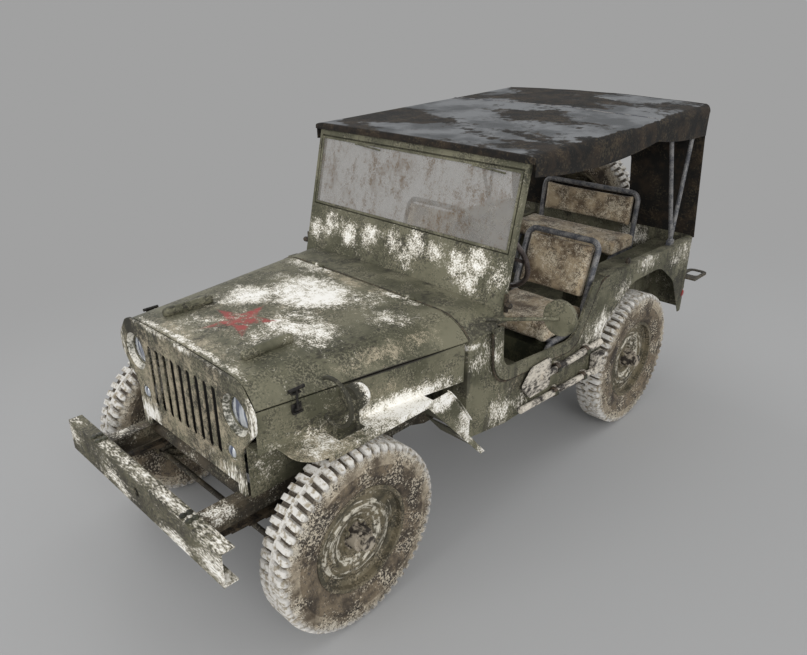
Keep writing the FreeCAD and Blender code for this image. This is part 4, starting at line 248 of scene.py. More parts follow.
class Effects:
    """Shader groups that several materials share."""

    def __init__(self) -> None:
        """Build each group once."""
        self.blot = self._blot()
        self.flakes = self._flakes()
        self.speckle = self._speckle()
        self.streaks = self._streaks()
        self.weave = self._weave()
        self.star = self._star()

    def _blot(self) -> NodeTree:
        """Soft round patch about a centre."""
        graph, given, made = new_group("Soft blot", {
            "Vector": VECTOR, "Centre": VECTOR, "Reach": VECTOR,
            "Strength": FLOAT}, {"Mask": FLOAT})
        away = graph.vector("SUBTRACT", given.outputs["Vector"], given.outputs["Centre"]).outputs[0]
        share = graph.vector("DIVIDE", away, given.outputs["Reach"]).outputs[0]
        far = graph.vector("LENGTH", share).outputs["Value"]
        near = graph.fall(far, 0.1, 1.0)
        graph.feed(made.inputs["Mask"], graph.times(near, given.outputs["Strength"]))
        return graph.tree

    def _flakes(self) -> NodeTree:
        """Ragged flaking mask: an amount of 0 leaves almost none of it, 0.5 half and 1 nearly all."""
        graph, given, made = new_group("Flaked wash", {
            "Vector": VECTOR, "Amount": FLOAT, "Scale": FLOAT},
            {"Mask": FLOAT, "Body": FLOAT})
        place, scale = given.outputs["Vector"], given.outputs["Scale"]
        level = given.outputs["Amount"]
        for times, share, detail in ((1.0, 1.3, 3.0), (4.5, 1.3, 4.0), (22.0, 1.7, 2.0)):
            part = graph.noise(place, graph.times(scale, times), detail=detail, rough=0.6)
            level = graph.total(level, graph.about(part, 0.5, share))
        graph.feed(made.inputs["Mask"], graph.step(level, 0.30, 0.78))
        graph.feed(made.inputs["Body"], graph.step(level, 0.50, 1.05))
        return graph.tree

    def _speckle(self) -> NodeTree:
        """Fine pale and dark specks, gathered by a broader cloud."""
        graph, given, made = new_group("Fine specks", {
            "Vector": VECTOR, "Scale": FLOAT},
            {"Pale": FLOAT, "Dark": FLOAT})
        place, scale = given.outputs["Vector"], given.outputs["Scale"]
        fine = graph.noise(place, scale, detail=3.0, rough=0.65)
        cloud = graph.noise(place, graph.times(scale, 0.09), detail=3.0, rough=0.6)
        lean = graph.about(cloud, 0.5, 0.8)
        graph.feed(made.inputs["Pale"], graph.step(graph.total(fine, lean), 0.54, 0.68))
        graph.feed(made.inputs["Dark"], graph.fall(graph.math("SUBTRACT", fine, lean), 0.34, 0.47))
        return graph.tree

    def _streaks(self) -> NodeTree:
        """Dark runs that fall down a surface."""
        graph, given, made = new_group("Runs", {
            "Vector": VECTOR, "Scale": FLOAT, "Amount": FLOAT},
            {"Mask": FLOAT})
        place, scale = given.outputs["Vector"], given.outputs["Scale"]
        runs = graph.noise(graph.stretched(place, (1.0, 1.0, 0.16)), scale, detail=5.0, rough=0.62)
        patches = graph.noise(place, graph.times(scale, 0.22), detail=3.0)
        level = graph.total(runs, graph.times(patches, 1.2), given.outputs["Amount"])
        graph.feed(made.inputs["Mask"], graph.step(level, 1.12, 1.34))
        return graph.tree

    def _weave(self) -> NodeTree:
        """Crossed threads of a coarse cloth."""
        graph, given, made = new_group("Coarse weave", {
            "Vector": VECTOR, "Threads": FLOAT}, {"Height": FLOAT})
        waves = []
        for part in graph.split(given.outputs["Vector"]):
            angle = graph.times(part, given.outputs["Threads"])
            waves.append(graph.math("ABSOLUTE", graph.math("SINE", angle)))
        total = graph.total(*waves)
        graph.feed(made.inputs["Height"], graph.times(total, 0.33))
        return graph.tree

    def _star(self) -> NodeTree:
        """Five-pointed star mask in the X and Y plane."""
        graph, given, made = new_group("Plain star", {
            "Vector": VECTOR, "Centre": VECTOR, "Size": FLOAT,
            "Turn": FLOAT}, {"Mask": FLOAT})
        away = graph.vector("SUBTRACT", given.outputs["Vector"], given.outputs["Centre"]).outputs[0]
        across, along, _ = graph.split(away)
        angle = graph.total(graph.math("ARCTAN2", along, across), given.outputs["Turn"])
        half = math.pi / 5
        folded = graph.math("ABSOLUTE", graph.math("WRAP", angle, half, -half))
        wide, long = graph.times(across, across), graph.times(along, along)
        far = graph.math("SQRT", graph.total(wide, long))
        far = graph.math("DIVIDE", far, given.outputs["Size"])
        reach = math.sin(half / 2) / math.sin(3.5 * half)
        slope = math.atan2(1 - reach * math.cos(half), reach * math.sin(half))
        limit = math.cos(slope)
        side = graph.times(far, graph.math("COSINE", graph.math("SUBTRACT", folded, slope)))
        graph.feed(made.inputs["Mask"], graph.fall(side, limit - 0.06, limit + 0.06))
        return graph.tree


# Finishes


@dataclass(frozen=True)
class Blot:
    """A patch of whitewash or dirt, in millimetres from the front axle's middle."""

    x: float
    y: float
    z: float
    wide: float
    long: float
    high: float
    strength: float = 1.0


def both(*blots: Blot) -> tuple[Blot, ...]:
    """Patches and their mirror images on the car's other side."""
    return tuple(replace(blot, x=side * blot.x) for blot in blots for side in SIDES)


def new_material(name: str) -> tuple[Material, Graph, Node, NodeSocket]:
    """Start a material with one Principled shader.

    Args:
        name: The material's name.

    Returns:
        The material, its graph, the shader node and the Object coordinates.
    """
    material = bpy.data.materials.new(name)
    material.use_nodes = True
    material.node_tree.nodes.clear()
    graph = Graph(material.node_tree)
    shader = graph.add("ShaderNodeBsdfPrincipled")
    out = graph.add("ShaderNodeOutputMaterial")
    graph.feed(out.inputs["Surface"], shader.outputs[0])
    return material, graph, shader, graph.add("ShaderNodeTexCoord").outputs["Object"]


def bump(graph: Graph, shader: Node, height: NodeSocket, strength: float,
         depth: float) -> None:
    """Feed a Bump node from a height to the shader's normal."""
    node = graph.fill(graph.add("ShaderNodeBump"), Strength=strength, Distance=depth, Height=height)
    graph.feed(shader.inputs["Normal"], node.outputs[0])


@dataclass(frozen=True)
class WinterPaint:
    """Matt olive paint under rubbed whitewash, with dust, soot, dark runs and painted shade along the panel
    seams.
    """

    name: str
    blots: tuple[Blot, ...] = ()
    dusting: tuple[Blot, ...] = ()
    soot: tuple[Blot, ...] = ()
    spread: float = -0.10
    scale: float = 7.0
    drawn: Triple = (1.0, 1.0, 1.0)
    grime: float = 0.10
    runs: float = 0.0
    # Blots along panel joints that get a dark band of painted shade.
    seams: tuple[Blot, ...] = ()
    base: Colour = OLIVE
    deep: Colour = OLIVE_DEEP
    star: Optional[Triple] = None
    star_size: float = 0.10
    star_turn: float = 0.0

    @staticmethod
    def patches(graph: Graph, effects: Effects, place: object, blots: Sequence[Blot], least: float) -> object:
        """Take the strongest of several blots at each place, and never less than the least amount."""
        total = None
        for blot in blots:
            reach = tuple(part / MM for part in (blot.wide, blot.long, blot.high))
            node = graph.group(effects.blot, Vector=place, Centre=car(blot.x, blot.y, blot.z), Reach=reach,
                               Strength=blot.strength)
            total = node.outputs[0] if total is None else graph.math("MAXIMUM", total, node.outputs[0])
        return least if total is None else graph.total(total, least)

    def ground(self, graph: Graph, effects: Effects, place: object) -> NodeSocket:
        """Colour of the old paint with its specks, dust and soot."""
        colour = graph.blend(graph.cloud(place, 4.6, 0.38, 0.62, detail=4.0, rough=0.6), self.deep, self.base)
        specks = graph.group(effects.speckle, Vector=place, Scale=130.0)
        colour = graph.coat(colour, specks.outputs["Pale"], OLIVE_WORN, 0.42)
        colour = graph.coat(colour, specks.outputs["Dark"], OLIVE_DARK, 0.60)
        soot = graph.group(effects.flakes, Vector=graph.stretched(place, (1.0, 0.45, 1.0)),
                           Amount=self.patches(graph, effects, place, self.soot, self.grime), Scale=4.0)
        colour = graph.coat(colour, soot.outputs["Mask"], SOOT_AND_SHADE, 0.72)
        if self.runs:
            runs = graph.group(effects.streaks, Vector=place, Scale=26.0, Amount=self.runs)
            colour = graph.coat(colour, runs.outputs[0], SOOT_AND_SHADE, 0.6)
        if self.dusting:
            dust = graph.group(effects.flakes, Vector=place, Scale=14.0,
                               Amount=self.patches(graph, effects, place, self.dusting, -0.3))
            colour = graph.coat(colour, dust.outputs["Mask"], DUST, 0.8)
        return colour

    def build(self, effects: Effects) -> Material:
        """Build the material.

        Args:
            effects: The shared shader groups.

        Returns:
            The finished material.
        """
        material, graph, shader, place = new_material(self.name)
        grain = graph.noise(place, 70.0, detail=4.0, rough=0.65)
        colour = self.ground(graph, effects, place)
        amount = self.patches(graph, effects, place, self.blots, self.spread)
        wash = graph.group(effects.flakes, Vector=graph.stretched(place, self.drawn), Amount=amount,
                           Scale=self.scale)
        white = graph.blend(wash.outputs["Body"], WASH, WASH_BRIGHT)
        colour = graph.coat(colour, wash.outputs["Mask"], white)
        # Painted shade: a dark band along the panel seams stands in for the shade in the joints.
        if self.seams:
            line = self.patches(graph, effects, place, self.seams, 0.0)
            colour = graph.coat(colour, graph.step(line, 0.25, 0.75), SOOT_AND_SHADE)
        if self.star:
            mark = graph.group(effects.star, Vector=place, Centre=self.star, Size=self.star_size,
                               Turn=self.star_turn)
            worn = graph.cloud(place, 30.0, 0.38, 0.58, detail=5.0, rough=0.75)
            colour = graph.coat(colour, graph.times(mark.outputs[0], worn), STAR_RED, 0.92)
        graph.fill(shader, Base_Color=colour, Roughness=graph.scaled(grain, 0.25, 0.60))
        thick = graph.times(wash.outputs["Mask"], 0.6)
        bump(graph, shader, graph.total(thick, graph.times(grain, 0.5)), strength=0.30, depth=0.0010)
        return material


@dataclass(frozen=True)
class PlainFinish:
    """A mottled finish for small metal, rubber, wood and plastic pieces."""

    name: str
    dark: Colour
    light: Colour
    scale: float = 30.0
    rough: float = 0.6
    metallic: float = 0.0
    grain: Triple = (1.0, 1.0, 1.0)
    depth: float = 0.0006
    split: tuple[float, float] = (0.42, 0.58)

    def build(self) -> Material:
        """Build the material and return it."""
        material, graph, shader, place = new_material(self.name)
        drawn = graph.stretched(place, self.grain)
        cloud = graph.noise(drawn, self.scale, detail=6.0, rough=0.65)
        fine = graph.noise(drawn, self.scale * 7, detail=3.0, rough=0.6)
        share = graph.total(graph.times(cloud, 0.6), graph.times(fine, 0.4))
        colour = graph.blend(graph.step(share, *self.split), self.dark, self.light)
        graph.fill(shader, Base_Color=colour, Roughness=graph.scaled(cloud, 0.3, self.rough - 0.15),
                   Metallic=self.metallic)
        bump(graph, shader, fine, strength=0.3, depth=self.depth)
        return material


@dataclass(frozen=True)
class SeatCloth:
    """Tan woven cover, mottled, with dark specks, pale specks and rubbed pale patches."""

    name: str = "seat_canvas"
    threads: float = 3000.0

    def build(self, effects: Effects) -> Material:
        """Build the material with the shared weave, specks and flakes."""
        material, graph, shader, place = new_material(self.name)
        mottle = graph.cloud(place, 9.0, 0.38, 0.62, detail=5.0, rough=0.65)
        colour = graph.blend(mottle, tint(92, 76, 58), tint(172, 154, 126))
        specks = graph.group(effects.speckle, Vector=place, Scale=120.0)
        colour = graph.coat(colour, specks.outputs["Dark"], tint(50, 41, 32), 0.75)
        worn = graph.group(effects.flakes, Vector=place, Amount=0.34, Scale=11.0)
        colour = graph.coat(colour, worn.outputs["Mask"], tint(222, 211, 188), 0.9)
        colour = graph.coat(colour, specks.outputs["Pale"], tint(206, 194, 170), 0.5)
        graph.fill(shader, Base_Color=colour, Roughness=0.92, Sheen_Weight=0.12)
        cloth = graph.group(effects.weave, Vector=place, Threads=self.threads)
        height = graph.total(cloth.outputs[0], graph.noise(place, 40.0, detail=3.0))
        bump(graph, shader, height, strength=0.4, depth=0.0008)
        return material


@dataclass(frozen=True)
class RoofCloth:
    """Tarred canvas, blotched grey-blue where it lies flat and near black where it hangs."""

    name: str = "roof_canvas"
    threads: float = 2100.0

    def build(self, effects: Effects) -> Material:
        """Build the material from the piece's own flat attribute."""
        material, graph, shader, place = new_material(self.name)
        flat = graph.add("ShaderNodeAttribute", attribute_name="flat").outputs["Fac"]
        mottle = graph.cloud(place, 12.0, 0.42, 0.62, detail=5.0, rough=0.65)
        colour = graph.blend(mottle, tint(15, 13, 10), tint(43, 33, 22))
        specks = graph.group(effects.speckle, Vector=place, Scale=90.0)
        colour = graph.coat(colour, specks.outputs["Pale"], tint(92, 80, 60), 0.35)
        broad = graph.noise(graph.stretched(place, (0.60, 1.0, 1.0)), 2.3, detail=4.0, rough=0.55)
        ragged = graph.about(graph.noise(place, 26.0, detail=4.0, rough=0.65), 0.5, 0.22)
        lie = graph.about(flat, 1.0, 0.30)
        level = graph.total(broad, ragged, lie)
        grey = graph.blend(graph.cloud(place, 5.0, 0.38, 0.62), tint(80, 82, 84), tint(116, 118, 120))
        colour = graph.coat(colour, graph.step(level, 0.470, 0.515), grey)
        rust = graph.group(effects.flakes, Vector=place, Amount=0.06, Scale=7.0)
        colour = graph.coat(colour, rust.outputs["Mask"], tint(46, 35, 24), 0.8)
        graph.fill(shader, Base_Color=colour, Roughness=0.93)
        cloth = graph.group(effects.weave, Vector=place, Threads=self.threads)
        height = graph.total(cloth.outputs[0], graph.noise(place, 40.0, detail=3.0))
        bump(graph, shader, height, strength=0.35, depth=0.0008)
        return material


@dataclass(frozen=True)
class TyreRubber:
    """Dusty rubber with snow packed on the tread, read from the piece's own attributes."""

    name: str = "tyre_rubber"

    def build(self, effects: Effects) -> Material:
        """Build the material from the reach and bar attributes."""
        material, graph, shader, place = new_material(self.name)
        reach = graph.add("ShaderNodeAttribute", attribute_name="reach").outputs["Fac"]
        bar = graph.add("ShaderNodeAttribute", attribute_name="bar").outputs["Fac"]
        cloud = graph.noise(place, 9.0, detail=5.0, rough=0.65)
        outer = graph.step(reach, 0.802, 0.812)
        mottle = graph.step(cloud, 0.38, 0.62)
        colour = graph.blend(outer, graph.blend(mottle, tint(58, 50, 41), tint(124, 110, 90)),
                             graph.blend(mottle, tint(86, 75, 61), tint(164, 152, 132)))
        specks = graph.group(effects.speckle, Vector=place, Scale=110.0)
        colour = graph.coat(colour, specks.outputs["Pale"], tint(206, 195, 174), 0.75)
        colour = graph.coat(colour, specks.outputs["Dark"], tint(44, 38, 33), 0.85)
        stained = graph.math("SUBTRACT", 0.26, graph.times(outer, 0.22))
        stain = graph.group(effects.flakes, Vector=place, Amount=stained, Scale=9.0)
        colour = graph.coat(colour, stain.outputs["Mask"], tint(48, 47, 50), 0.75)
        snow = graph.group(effects.flakes, Vector=place, Scale=10.0,
                           Amount=graph.times(graph.step(reach, 0.80, 0.93), 0.52))
        colour = graph.coat(colour, snow.outputs["Mask"], tint(198, 190, 174), 0.85)
        gap = graph.step(reach, 0.93, 0.955)
        colour = graph.coat(colour, gap, tint(58, 49, 39), 0.90)
        packed = graph.cloud(place, 55.0, 0.36, 0.54, detail=4.0, rough=0.6)
        top = graph.times(graph.step(reach, 0.900, 0.985), bar)
        pale = graph.blend(packed, tint(150, 140, 122), tint(208, 205, 199))
        colour = graph.coat(colour, top, pale)
        graph.fill(shader, Base_Color=colour, Roughness=graph.scaled(cloud, 0.2, 0.72))
        bump(graph, shader, graph.noise(place, 120.0, detail=4.0, rough=0.6), strength=0.3, depth=0.0008)
        return material


@dataclass(frozen=True)
class WheelPaint:
    """Muddy olive wheel with brushed arcs of whitewash about its hub."""

    name: str
    centre: Triple
    across: Triple = (0.0, 1.0, 1.0)

    def build(self, effects: Effects) -> Material:
        """Build the material about the wheel's centre."""
        material, graph, shader, place = new_material(self.name)
        away = graph.vector("SUBTRACT", place, self.centre).outputs[0]
        flat = graph.stretched(away, self.across)
        far = graph.vector("LENGTH", flat).outputs["Value"]
        way = graph.vector("NORMALIZE", flat).outputs[0]
        spread = graph.combine(far, far, far)
        turned = graph.vector("MULTIPLY_ADD", spread, (26.0, 26.0, 26.0), way).outputs[0]
        cloud = graph.noise(place, 10.0, detail=5.0, rough=0.65)
        colour = graph.blend(graph.step(cloud, 0.38, 0.60), tint(64, 60, 46), tint(112, 103, 82))
        specks = graph.group(effects.speckle, Vector=place, Scale=130.0)
        colour = graph.coat(colour, specks.outputs["Dark"], tint(42, 37, 30), 0.7)
        colour = graph.coat(colour, specks.outputs["Pale"], tint(168, 156, 134), 0.45)
        away_from_band = graph.math("ABSOLUTE", graph.math("SUBTRACT", far, 0.125))
        band = graph.fall(away_from_band, 0.030, 0.080)
        brushed = graph.noise(turned, 1.3, detail=4.0, rough=0.62)
        amount = graph.total(graph.times(brushed, 3.0), graph.times(band, 0.55))
        strokes = graph.times(graph.step(amount, 1.96, 2.26), 0.94)
        fray = graph.cloud(place, 44.0, 0.42, 0.54, detail=5.0, rough=0.7)
        colour = graph.coat(colour, graph.times(strokes, fray), tint(206, 200, 184))
        hub = graph.fall(far, 0.052, 0.060)
        cap = graph.blend(graph.cloud(place, 30.0, 0.42, 0.58), tint(50, 44, 38), tint(164, 154, 138))
        colour = graph.coat(colour, hub, cap)
        graph.fill(shader, Base_Color=colour, Roughness=graph.scaled(cloud, 0.3, 0.55))
        bump(graph, shader, graph.noise(place, 60.0, detail=5.0, rough=0.65), strength=0.3, depth=0.0008)
        return material


def dusty_glass(effects: Effects) -> Material:
    """Thin glass under a film of dust with brown drips.

    Args:
        effects: The shared shader groups.

    Returns:
        The see-through material.
    """
    material, graph, shader, place = new_material("dusty_glass")
    drawn = graph.stretched(place, (1.0, 1.0, 0.55))
    drips = graph.group(effects.flakes, Vector=drawn, Amount=0.34, Scale=9.0)
    colour = graph.blend(drips.outputs["Mask"], tint(158, 155, 150), tint(110, 94, 76))
    film = graph.scaled(graph.cloud(place, 6.0, 0.36, 0.66, detail=5.0, rough=0.65), 0.14, 0.38)
    film = graph.math("ADD", film, graph.times(drips.outputs["Mask"], 0.26), clamp=True)
    graph.fill(shader, Base_Color=colour, Alpha=film, Roughness=0.35)
    return material


def lamp_glass(name: str, deep: Colour, bright: Colour, rough: float = 0.10) -> Material:
    """Glossy lens or mirror, fluted upright, its colour striped light and dark as a painted reflection.

    Args:
        name: The material's name.
        deep: The dark colour.
        bright: The light colour of the painted reflection.
        rough: The gloss.

    Returns:
        The lens material.
    """
    material, graph, shader, place = new_material(name)
    ribs_and_glints = graph.noise(graph.stretched(place, (1.0, 0.3, 0.12)), 60.0, detail=3.0)
    # Painted reflection: the noise that flutes the glass also stripes its colour with light streaks and dark
    # ones.
    graph.fill(shader, Base_Color=graph.blend(graph.step(ribs_and_glints, 0.44, 0.60), deep, bright),
               Roughness=graph.scaled(ribs_and_glints, 0.15, rough), Coat_Weight=0.6, Metallic=0.25)
    bump(graph, shader, ribs_and_glints, strength=0.3, depth=0.0015)
    return material


# Mesh tools


def put(name: str, data: ID) -> Object:
    """Make an object for a mesh, lamp or camera and link it to the scene."""
    made = bpy.data.objects.new(name, data)
    bpy.context.scene.collection.objects.link(made)
    return made


def evaluated(piece: Object) -> Mesh:
    """Plain mesh of an object with its modifiers applied."""
    return bpy.data.meshes.new_from_object(piece.evaluated_get(bpy.context.evaluated_depsgraph_get()))


def keep_piece(mesh: Mesh, name: str, body: str, material: Material,
               replaces: Sequence[str] = (), smooth: Optional[float] = 40.0) -> Object:
    """Put a finished mesh in the scene on its body.

    Args:
        mesh: The mesh, already in place.
        name: The piece's name.
        body: The body it rides on.
        material: Its material, used where the mesh has none.
        replaces: Nodes it stands for.
        smooth: Angle in degrees up to which faces shade smoothly, or None.

    Returns:
        The object.
    """
    piece = put(name, mesh)
    if not mesh.materials:
        mesh.materials.append(material)
    if smooth is not None:
        mesh.shade_smooth()
        mesh.set_sharp_from_angle(angle=math.radians(smooth))
    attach(piece, body)
    if replaces:
        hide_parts(*replaces)
    LOG.info("%s: %d faces", name, len(mesh.polygons))
    return piece


def from_bmesh(work: BMesh, name: str, weld: float = 0.0) -> Mesh:
    """Turn a bmesh into a mesh with outward faces.

    Args:
        work: The bmesh, freed afterwards.
        name: The mesh's name.
        weld: Distance in metres for merging doubles.

    Returns:
        The mesh.
    """
    if weld:
        bmesh.ops.remove_doubles(work, verts=work.verts[:], dist=weld)
    bmesh.ops.recalc_face_normals(work, faces=work.faces[:])
    mesh = bpy.data.meshes.new(name)
    work.to_mesh(mesh)
    work.free()
    return mesh


def turns(count: int) -> list[float]:
    """Angles of a full turn in equal steps."""
    return [2 * math.pi * k / count for k in range(count)]


def grid(rows: Sequence[Sequence[Vector]], close_rows: bool = False, close_columns: bool = False,
         capped: bool = False) -> BMesh:
    """Skin rows of points with quads.

    Args:
        rows: Rows of equal length.
        close_rows: Join the last row to the first.
        close_columns: Join each row's last point to its first.
        capped: Close the two open ends of a form that is joined one way.

    Returns:
        The bmesh.
    """
    work = bmesh.new()
    verts = [[work.verts.new(point) for point in row] for row in rows]
    count, width = len(rows), len(rows[0])
    for i in range(count if close_rows else count - 1):
        for j in range(width if close_columns else width - 1):
            a, b = verts[i], verts[(i + 1) % count]
            k = (j + 1) % width
            work.faces.new((a[j], a[k], b[k], b[j]))
    if capped:
        for end in (0, -1):
            work.faces.new([row[end] for row in verts] if close_rows else verts[end])
    return work


def skin(rows: Sequence[Sequence[Vector]], name: str, weld: float = 0.0, **joins: bool) -> Mesh:
    """Mesh over rows of points, with the switches that grid has."""
    return from_bmesh(grid(rows, **joins), name, weld)


def tube(points: Sequence[Vector], radius: float, sides: int = 8, closed: bool = False) -> BMesh:
    """Round bar along a path.

    Args:
        points: The path.
        radius: Its radius in metres.
        sides: Faces round it.
        closed: True for a loop.

    Returns:
        The bmesh.
    """
    rows = []
    count = len(points)
    normal = None
    for i, point in enumerate(points):
        after = points[(i + 1) % count] if closed or i + 1 < count else points[i]
        before = points[i - 1] if closed or i else points[0]
        run = (after - before).normalized()
        if normal is None:
            normal = run.orthogonal().normalized()
        normal = (normal - run * normal.dot(run)).normalized()
        other = run.cross(normal)
        rows.append([point + (normal * math.cos(a) + other * math.sin(a)) * radius for a in turns(sides)])
    return grid(rows, close_rows=closed, close_columns=True, capped=not closed)


def spun(profile: Sequence[tuple[float, float]], steps: int) -> BMesh:
    """Turn a profile round the X axis.

    Args:
        profile: Pairs of (along the axle, radius), in metres.
        steps: Faces round the axis.

    Returns:
        The bmesh, closed where the radius is zero.
    """
    rows = [[Vector((x, r * math.sin(a), -r * math.cos(a))) for x, r in profile] for a in turns(steps)]
    return grid(rows, close_rows=True)


def aimed(mesh: Mesh, centre: Vector, facing: Triple) -> Mesh:
    """Turn a mesh that faces up to another way, move it to a centre and return it."""
    turn = Vector(facing).to_track_quat("Z", "Y").to_matrix().to_4x4()
    mesh.transform(Matrix.Translation(centre) @ turn)
    return mesh


def circle(reach: float, up: float, count: int) -> list[Vector]:
    """Points of a level ring about the middle."""
    return [Vector((reach * math.cos(a), reach * math.sin(a), up)) for a in turns(count)]


def prism(outline: Sequence[Vector], push: Vector, soften: float = 0.0) -> Mesh:
    """Flat outline given a thickness, with its edges eased.

    Args:
        outline: Corners of one face, in order.
        push: From that face to the other.
        soften: Width of the eased edge in metres, or 0.

    Returns:
        The mesh.
    """
    work = bmesh.new()
    near = [work.verts.new(point) for point in outline]
    far = [work.verts.new(point + push) for point in outline]
    work.faces.new(near)
    work.faces.new(far[::-1])
    for i in range(len(near)):
        k = (i + 1) % len(near)
        work.faces.new((near[i], far[i], far[k], near[k]))
    if soften:
        bmesh.ops.bevel(work, geom=work.edges[:], offset=soften, segments=2, profile=0.6, affect="EDGES")
    return from_bmesh(work, "prism")


def block(low: Triple, high: Triple, soften: float = 0.0015) -> Mesh:
    """Box between two corners in car millimetres, with eased edges."""
    a, b = car(*low), car(*high)
    corners = [Vector((x, y, a.z)) for x, y in ((a.x, a.y), (b.x, a.y), (b.x, b.y), (a.x, b.y))]
    return prism(corners, Vector((0.0, 0.0, b.z - a.z)), soften)


def button(centre: Vector, facing: Triple, radius: float, height: float, sides: int = 12, rings: int = 3,
           flat: float = 0.0) -> Mesh:
    """Low round head or lens that faces one way.

    Args:
        centre: Middle of its back, in metres.
        facing: The way that it faces.
        radius: Its radius in metres.
        height: How far it stands out.
        sides: Faces round it; six make a bolt head.
        rings: Rings from edge to middle.
        flat: Straight height before it curves.

    Returns:
        The closed mesh.
    """
    rows = [circle(0.0, 0.0, sides), circle(radius, 0.0, sides)]
    if flat:
        rows.append(circle(radius, flat, sides))
    for k in range(1, rings + 1):
        a = math.pi / 2 * k / rings
        rows.append(circle(radius * math.cos(a), flat + (height - flat) * math.sin(a), sides))
    return aimed(skin(rows, "button", WELD, close_columns=True), centre, facing)


def ring_bar(centre: Vector, facing: Triple, reach: float, radius: float) -> Mesh:
    """Thin round ring about a centre, in metres."""
    return aimed(from_bmesh(tube(circle(reach, 0.0, 40), radius, closed=True), "ring"), centre, facing)


def bar(points: Sequence[Triple], radius: float, sides: int = 8, closed: bool = False) -> Mesh:
    """Round bar through points in car millimetres, its radius in millimetres too."""
    return from_bmesh(tube([car(*p) for p in points], radius / MM, sides, closed), "bar")


def rounded_loop(half_wide: float, half_high: float, curve: float,
                 per_corner: int) -> list[tuple[float, float]]:
    """Points round a rectangle with rounded corners."""
    points = []
    for quarter, (sx, sy) in enumerate(((1, 1), (-1, 1), (-1, -1), (1, -1))):
        cx, cy = sx * (half_wide - curve), sy * (half_high - curve)
        for k in range(per_corner + 1):
            a = math.pi / 2 * (quarter + k / per_corner)
            points.append((cx + curve * math.cos(a), cy + curve * math.sin(a)))
    return points


# Repeats by Geometry Nodes


class Layout(Enum):
    """How a repeat is laid out."""

    RING = "ring"
    ROW = "row"


class Repeater:
    """Geometry Nodes trees that repeat one item round an axle or along a line."""

    def __init__(self) -> None:
        """Build both trees."""
        self.trees = {Layout.RING: self._ring(), Layout.ROW: self._row()}

    @staticmethod
    def _start(name: str, sockets: dict[str, str]) -> tuple[Graph, Node, Node]:
        """Start a tree with a geometry in and out and the named inputs."""
        shape = {"Geometry": "NodeSocketGeometry"}
        return new_group(name, {**shape, **sockets}, shape, "GeometryNodeTree")

    @staticmethod
    def _end(graph: Graph, given: Node, made: Node, placed: Node) -> None:
        """Finish a tree with Realize Instances and Set Material."""
        real = graph.fill(graph.add("GeometryNodeRealizeInstances"), Geometry=placed.outputs[0])
        dress = graph.fill(graph.add("GeometryNodeSetMaterial"), Geometry=real.outputs[0],
                           Material=given.outputs["Material"])
        graph.feed(made.inputs[0], dress.outputs[0])

    def _copies(self, graph: Graph, given: Node, points: object, turn: object) -> Node:
        """Place the item on points."""
        item = graph.fill(graph.add("GeometryNodeObjectInfo"), Object=given.outputs["Item"])
        return graph.fill(graph.add("GeometryNodeInstanceOnPoints"), Points=points,
                          Instance=item.outputs["Geometry"], Rotation=turn)

    def _ring(self) -> NodeTree:
        """Copies turned about an axle that runs along X, the first at the bottom."""
        graph, given, made = self._start("Repeat round an axle", {
            "Item": "NodeSocketObject", "Count": "NodeSocketInt", "Start": FLOAT,
            "Centre": VECTOR, "Material": "NodeSocketMaterial"})
        line = graph.fill(graph.add("GeometryNodeMeshLine", mode="OFFSET"), Count=given.outputs["Count"],
                          Start_Location=given.outputs["Centre"], Offset=(0.0, 0.0, 0.0))
        index = graph.add("GeometryNodeInputIndex").outputs[0]
        step = graph.math("DIVIDE", 2 * math.pi, given.outputs["Count"])
        turn = graph.total(graph.times(index, step), given.outputs["Start"])
        placed = self._copies(graph, given, line.outputs[0], graph.combine(turn))
        self._end(graph, given, made, placed)
        return graph.tree

    def _row(self) -> NodeTree:
        """Copies at equal steps along the piece's own edges."""
        graph, given, made = self._start("Repeat along a path", {
            "Item": "NodeSocketObject", "Step": FLOAT, "Turn": VECTOR,
            "Material": "NodeSocketMaterial"})
        path = graph.fill(graph.add("GeometryNodeMeshToCurve"), Mesh=given.outputs["Geometry"])
        spread = graph.fill(graph.add("GeometryNodeCurveToPoints", mode="LENGTH"), Curve=path.outputs[0],
                            Length=given.outputs["Step"])
        placed = self._copies(graph, given, spread.outputs[0], given.outputs["Turn"])
        self._end(graph, given, made, placed)
        return graph.tree

    def run(self, layout: Layout, base: Mesh, item: Mesh,
            **values: object) -> Mesh:
        """Evaluate one repeat.

        Args:
            layout: Which tree.
            base: The mesh that carries the modifier; a path for a row.
            item: The mesh that is repeated.
            values: The tree's inputs by name.

        Returns:
            The repeated items as one plain mesh.
        """
        holder, thing = put("holder", base), put("item", item)
        modifier = holder.modifiers.new("repeat", "NODES")
        modifier.node_group = self.trees[layout]
        values["Item"] = thing
        for socket in modifier.node_group.interface.items_tree:
            if socket.in_out == "INPUT" and socket.name in values:
                modifier[socket.identifier] = values[socket.name]
        holder.update_tag()
        bpy.context.view_layer.update()
        mesh = evaluated(holder)
        for obj in (holder, thing):
            bpy.data.objects.remove(obj)
        return mesh

    def ring(self, item: Mesh, count: int, start: float,
             material: Material) -> Mesh:
        """Repeat an item round the X axis, the first turned by the start angle."""
        return self.run(Layout.RING, bpy.data.meshes.new("seed"), item, Count=count, Start=start,
                        Centre=(0.0, 0.0, 0.0), Material=material)

    def row(self, item: Mesh, points: Sequence[Vector], step: float, turn: Triple,
            material: Material) -> Mesh:
        """Repeat an item along a chain of points, a step in metres apart."""
        path = bpy.data.meshes.new("path")
        path.from_pydata(points, [(i, i + 1) for i in range(len(points) - 1)], [])
        return self.run(Layout.ROW, path, item, Step=step, Turn=turn, Material=material)


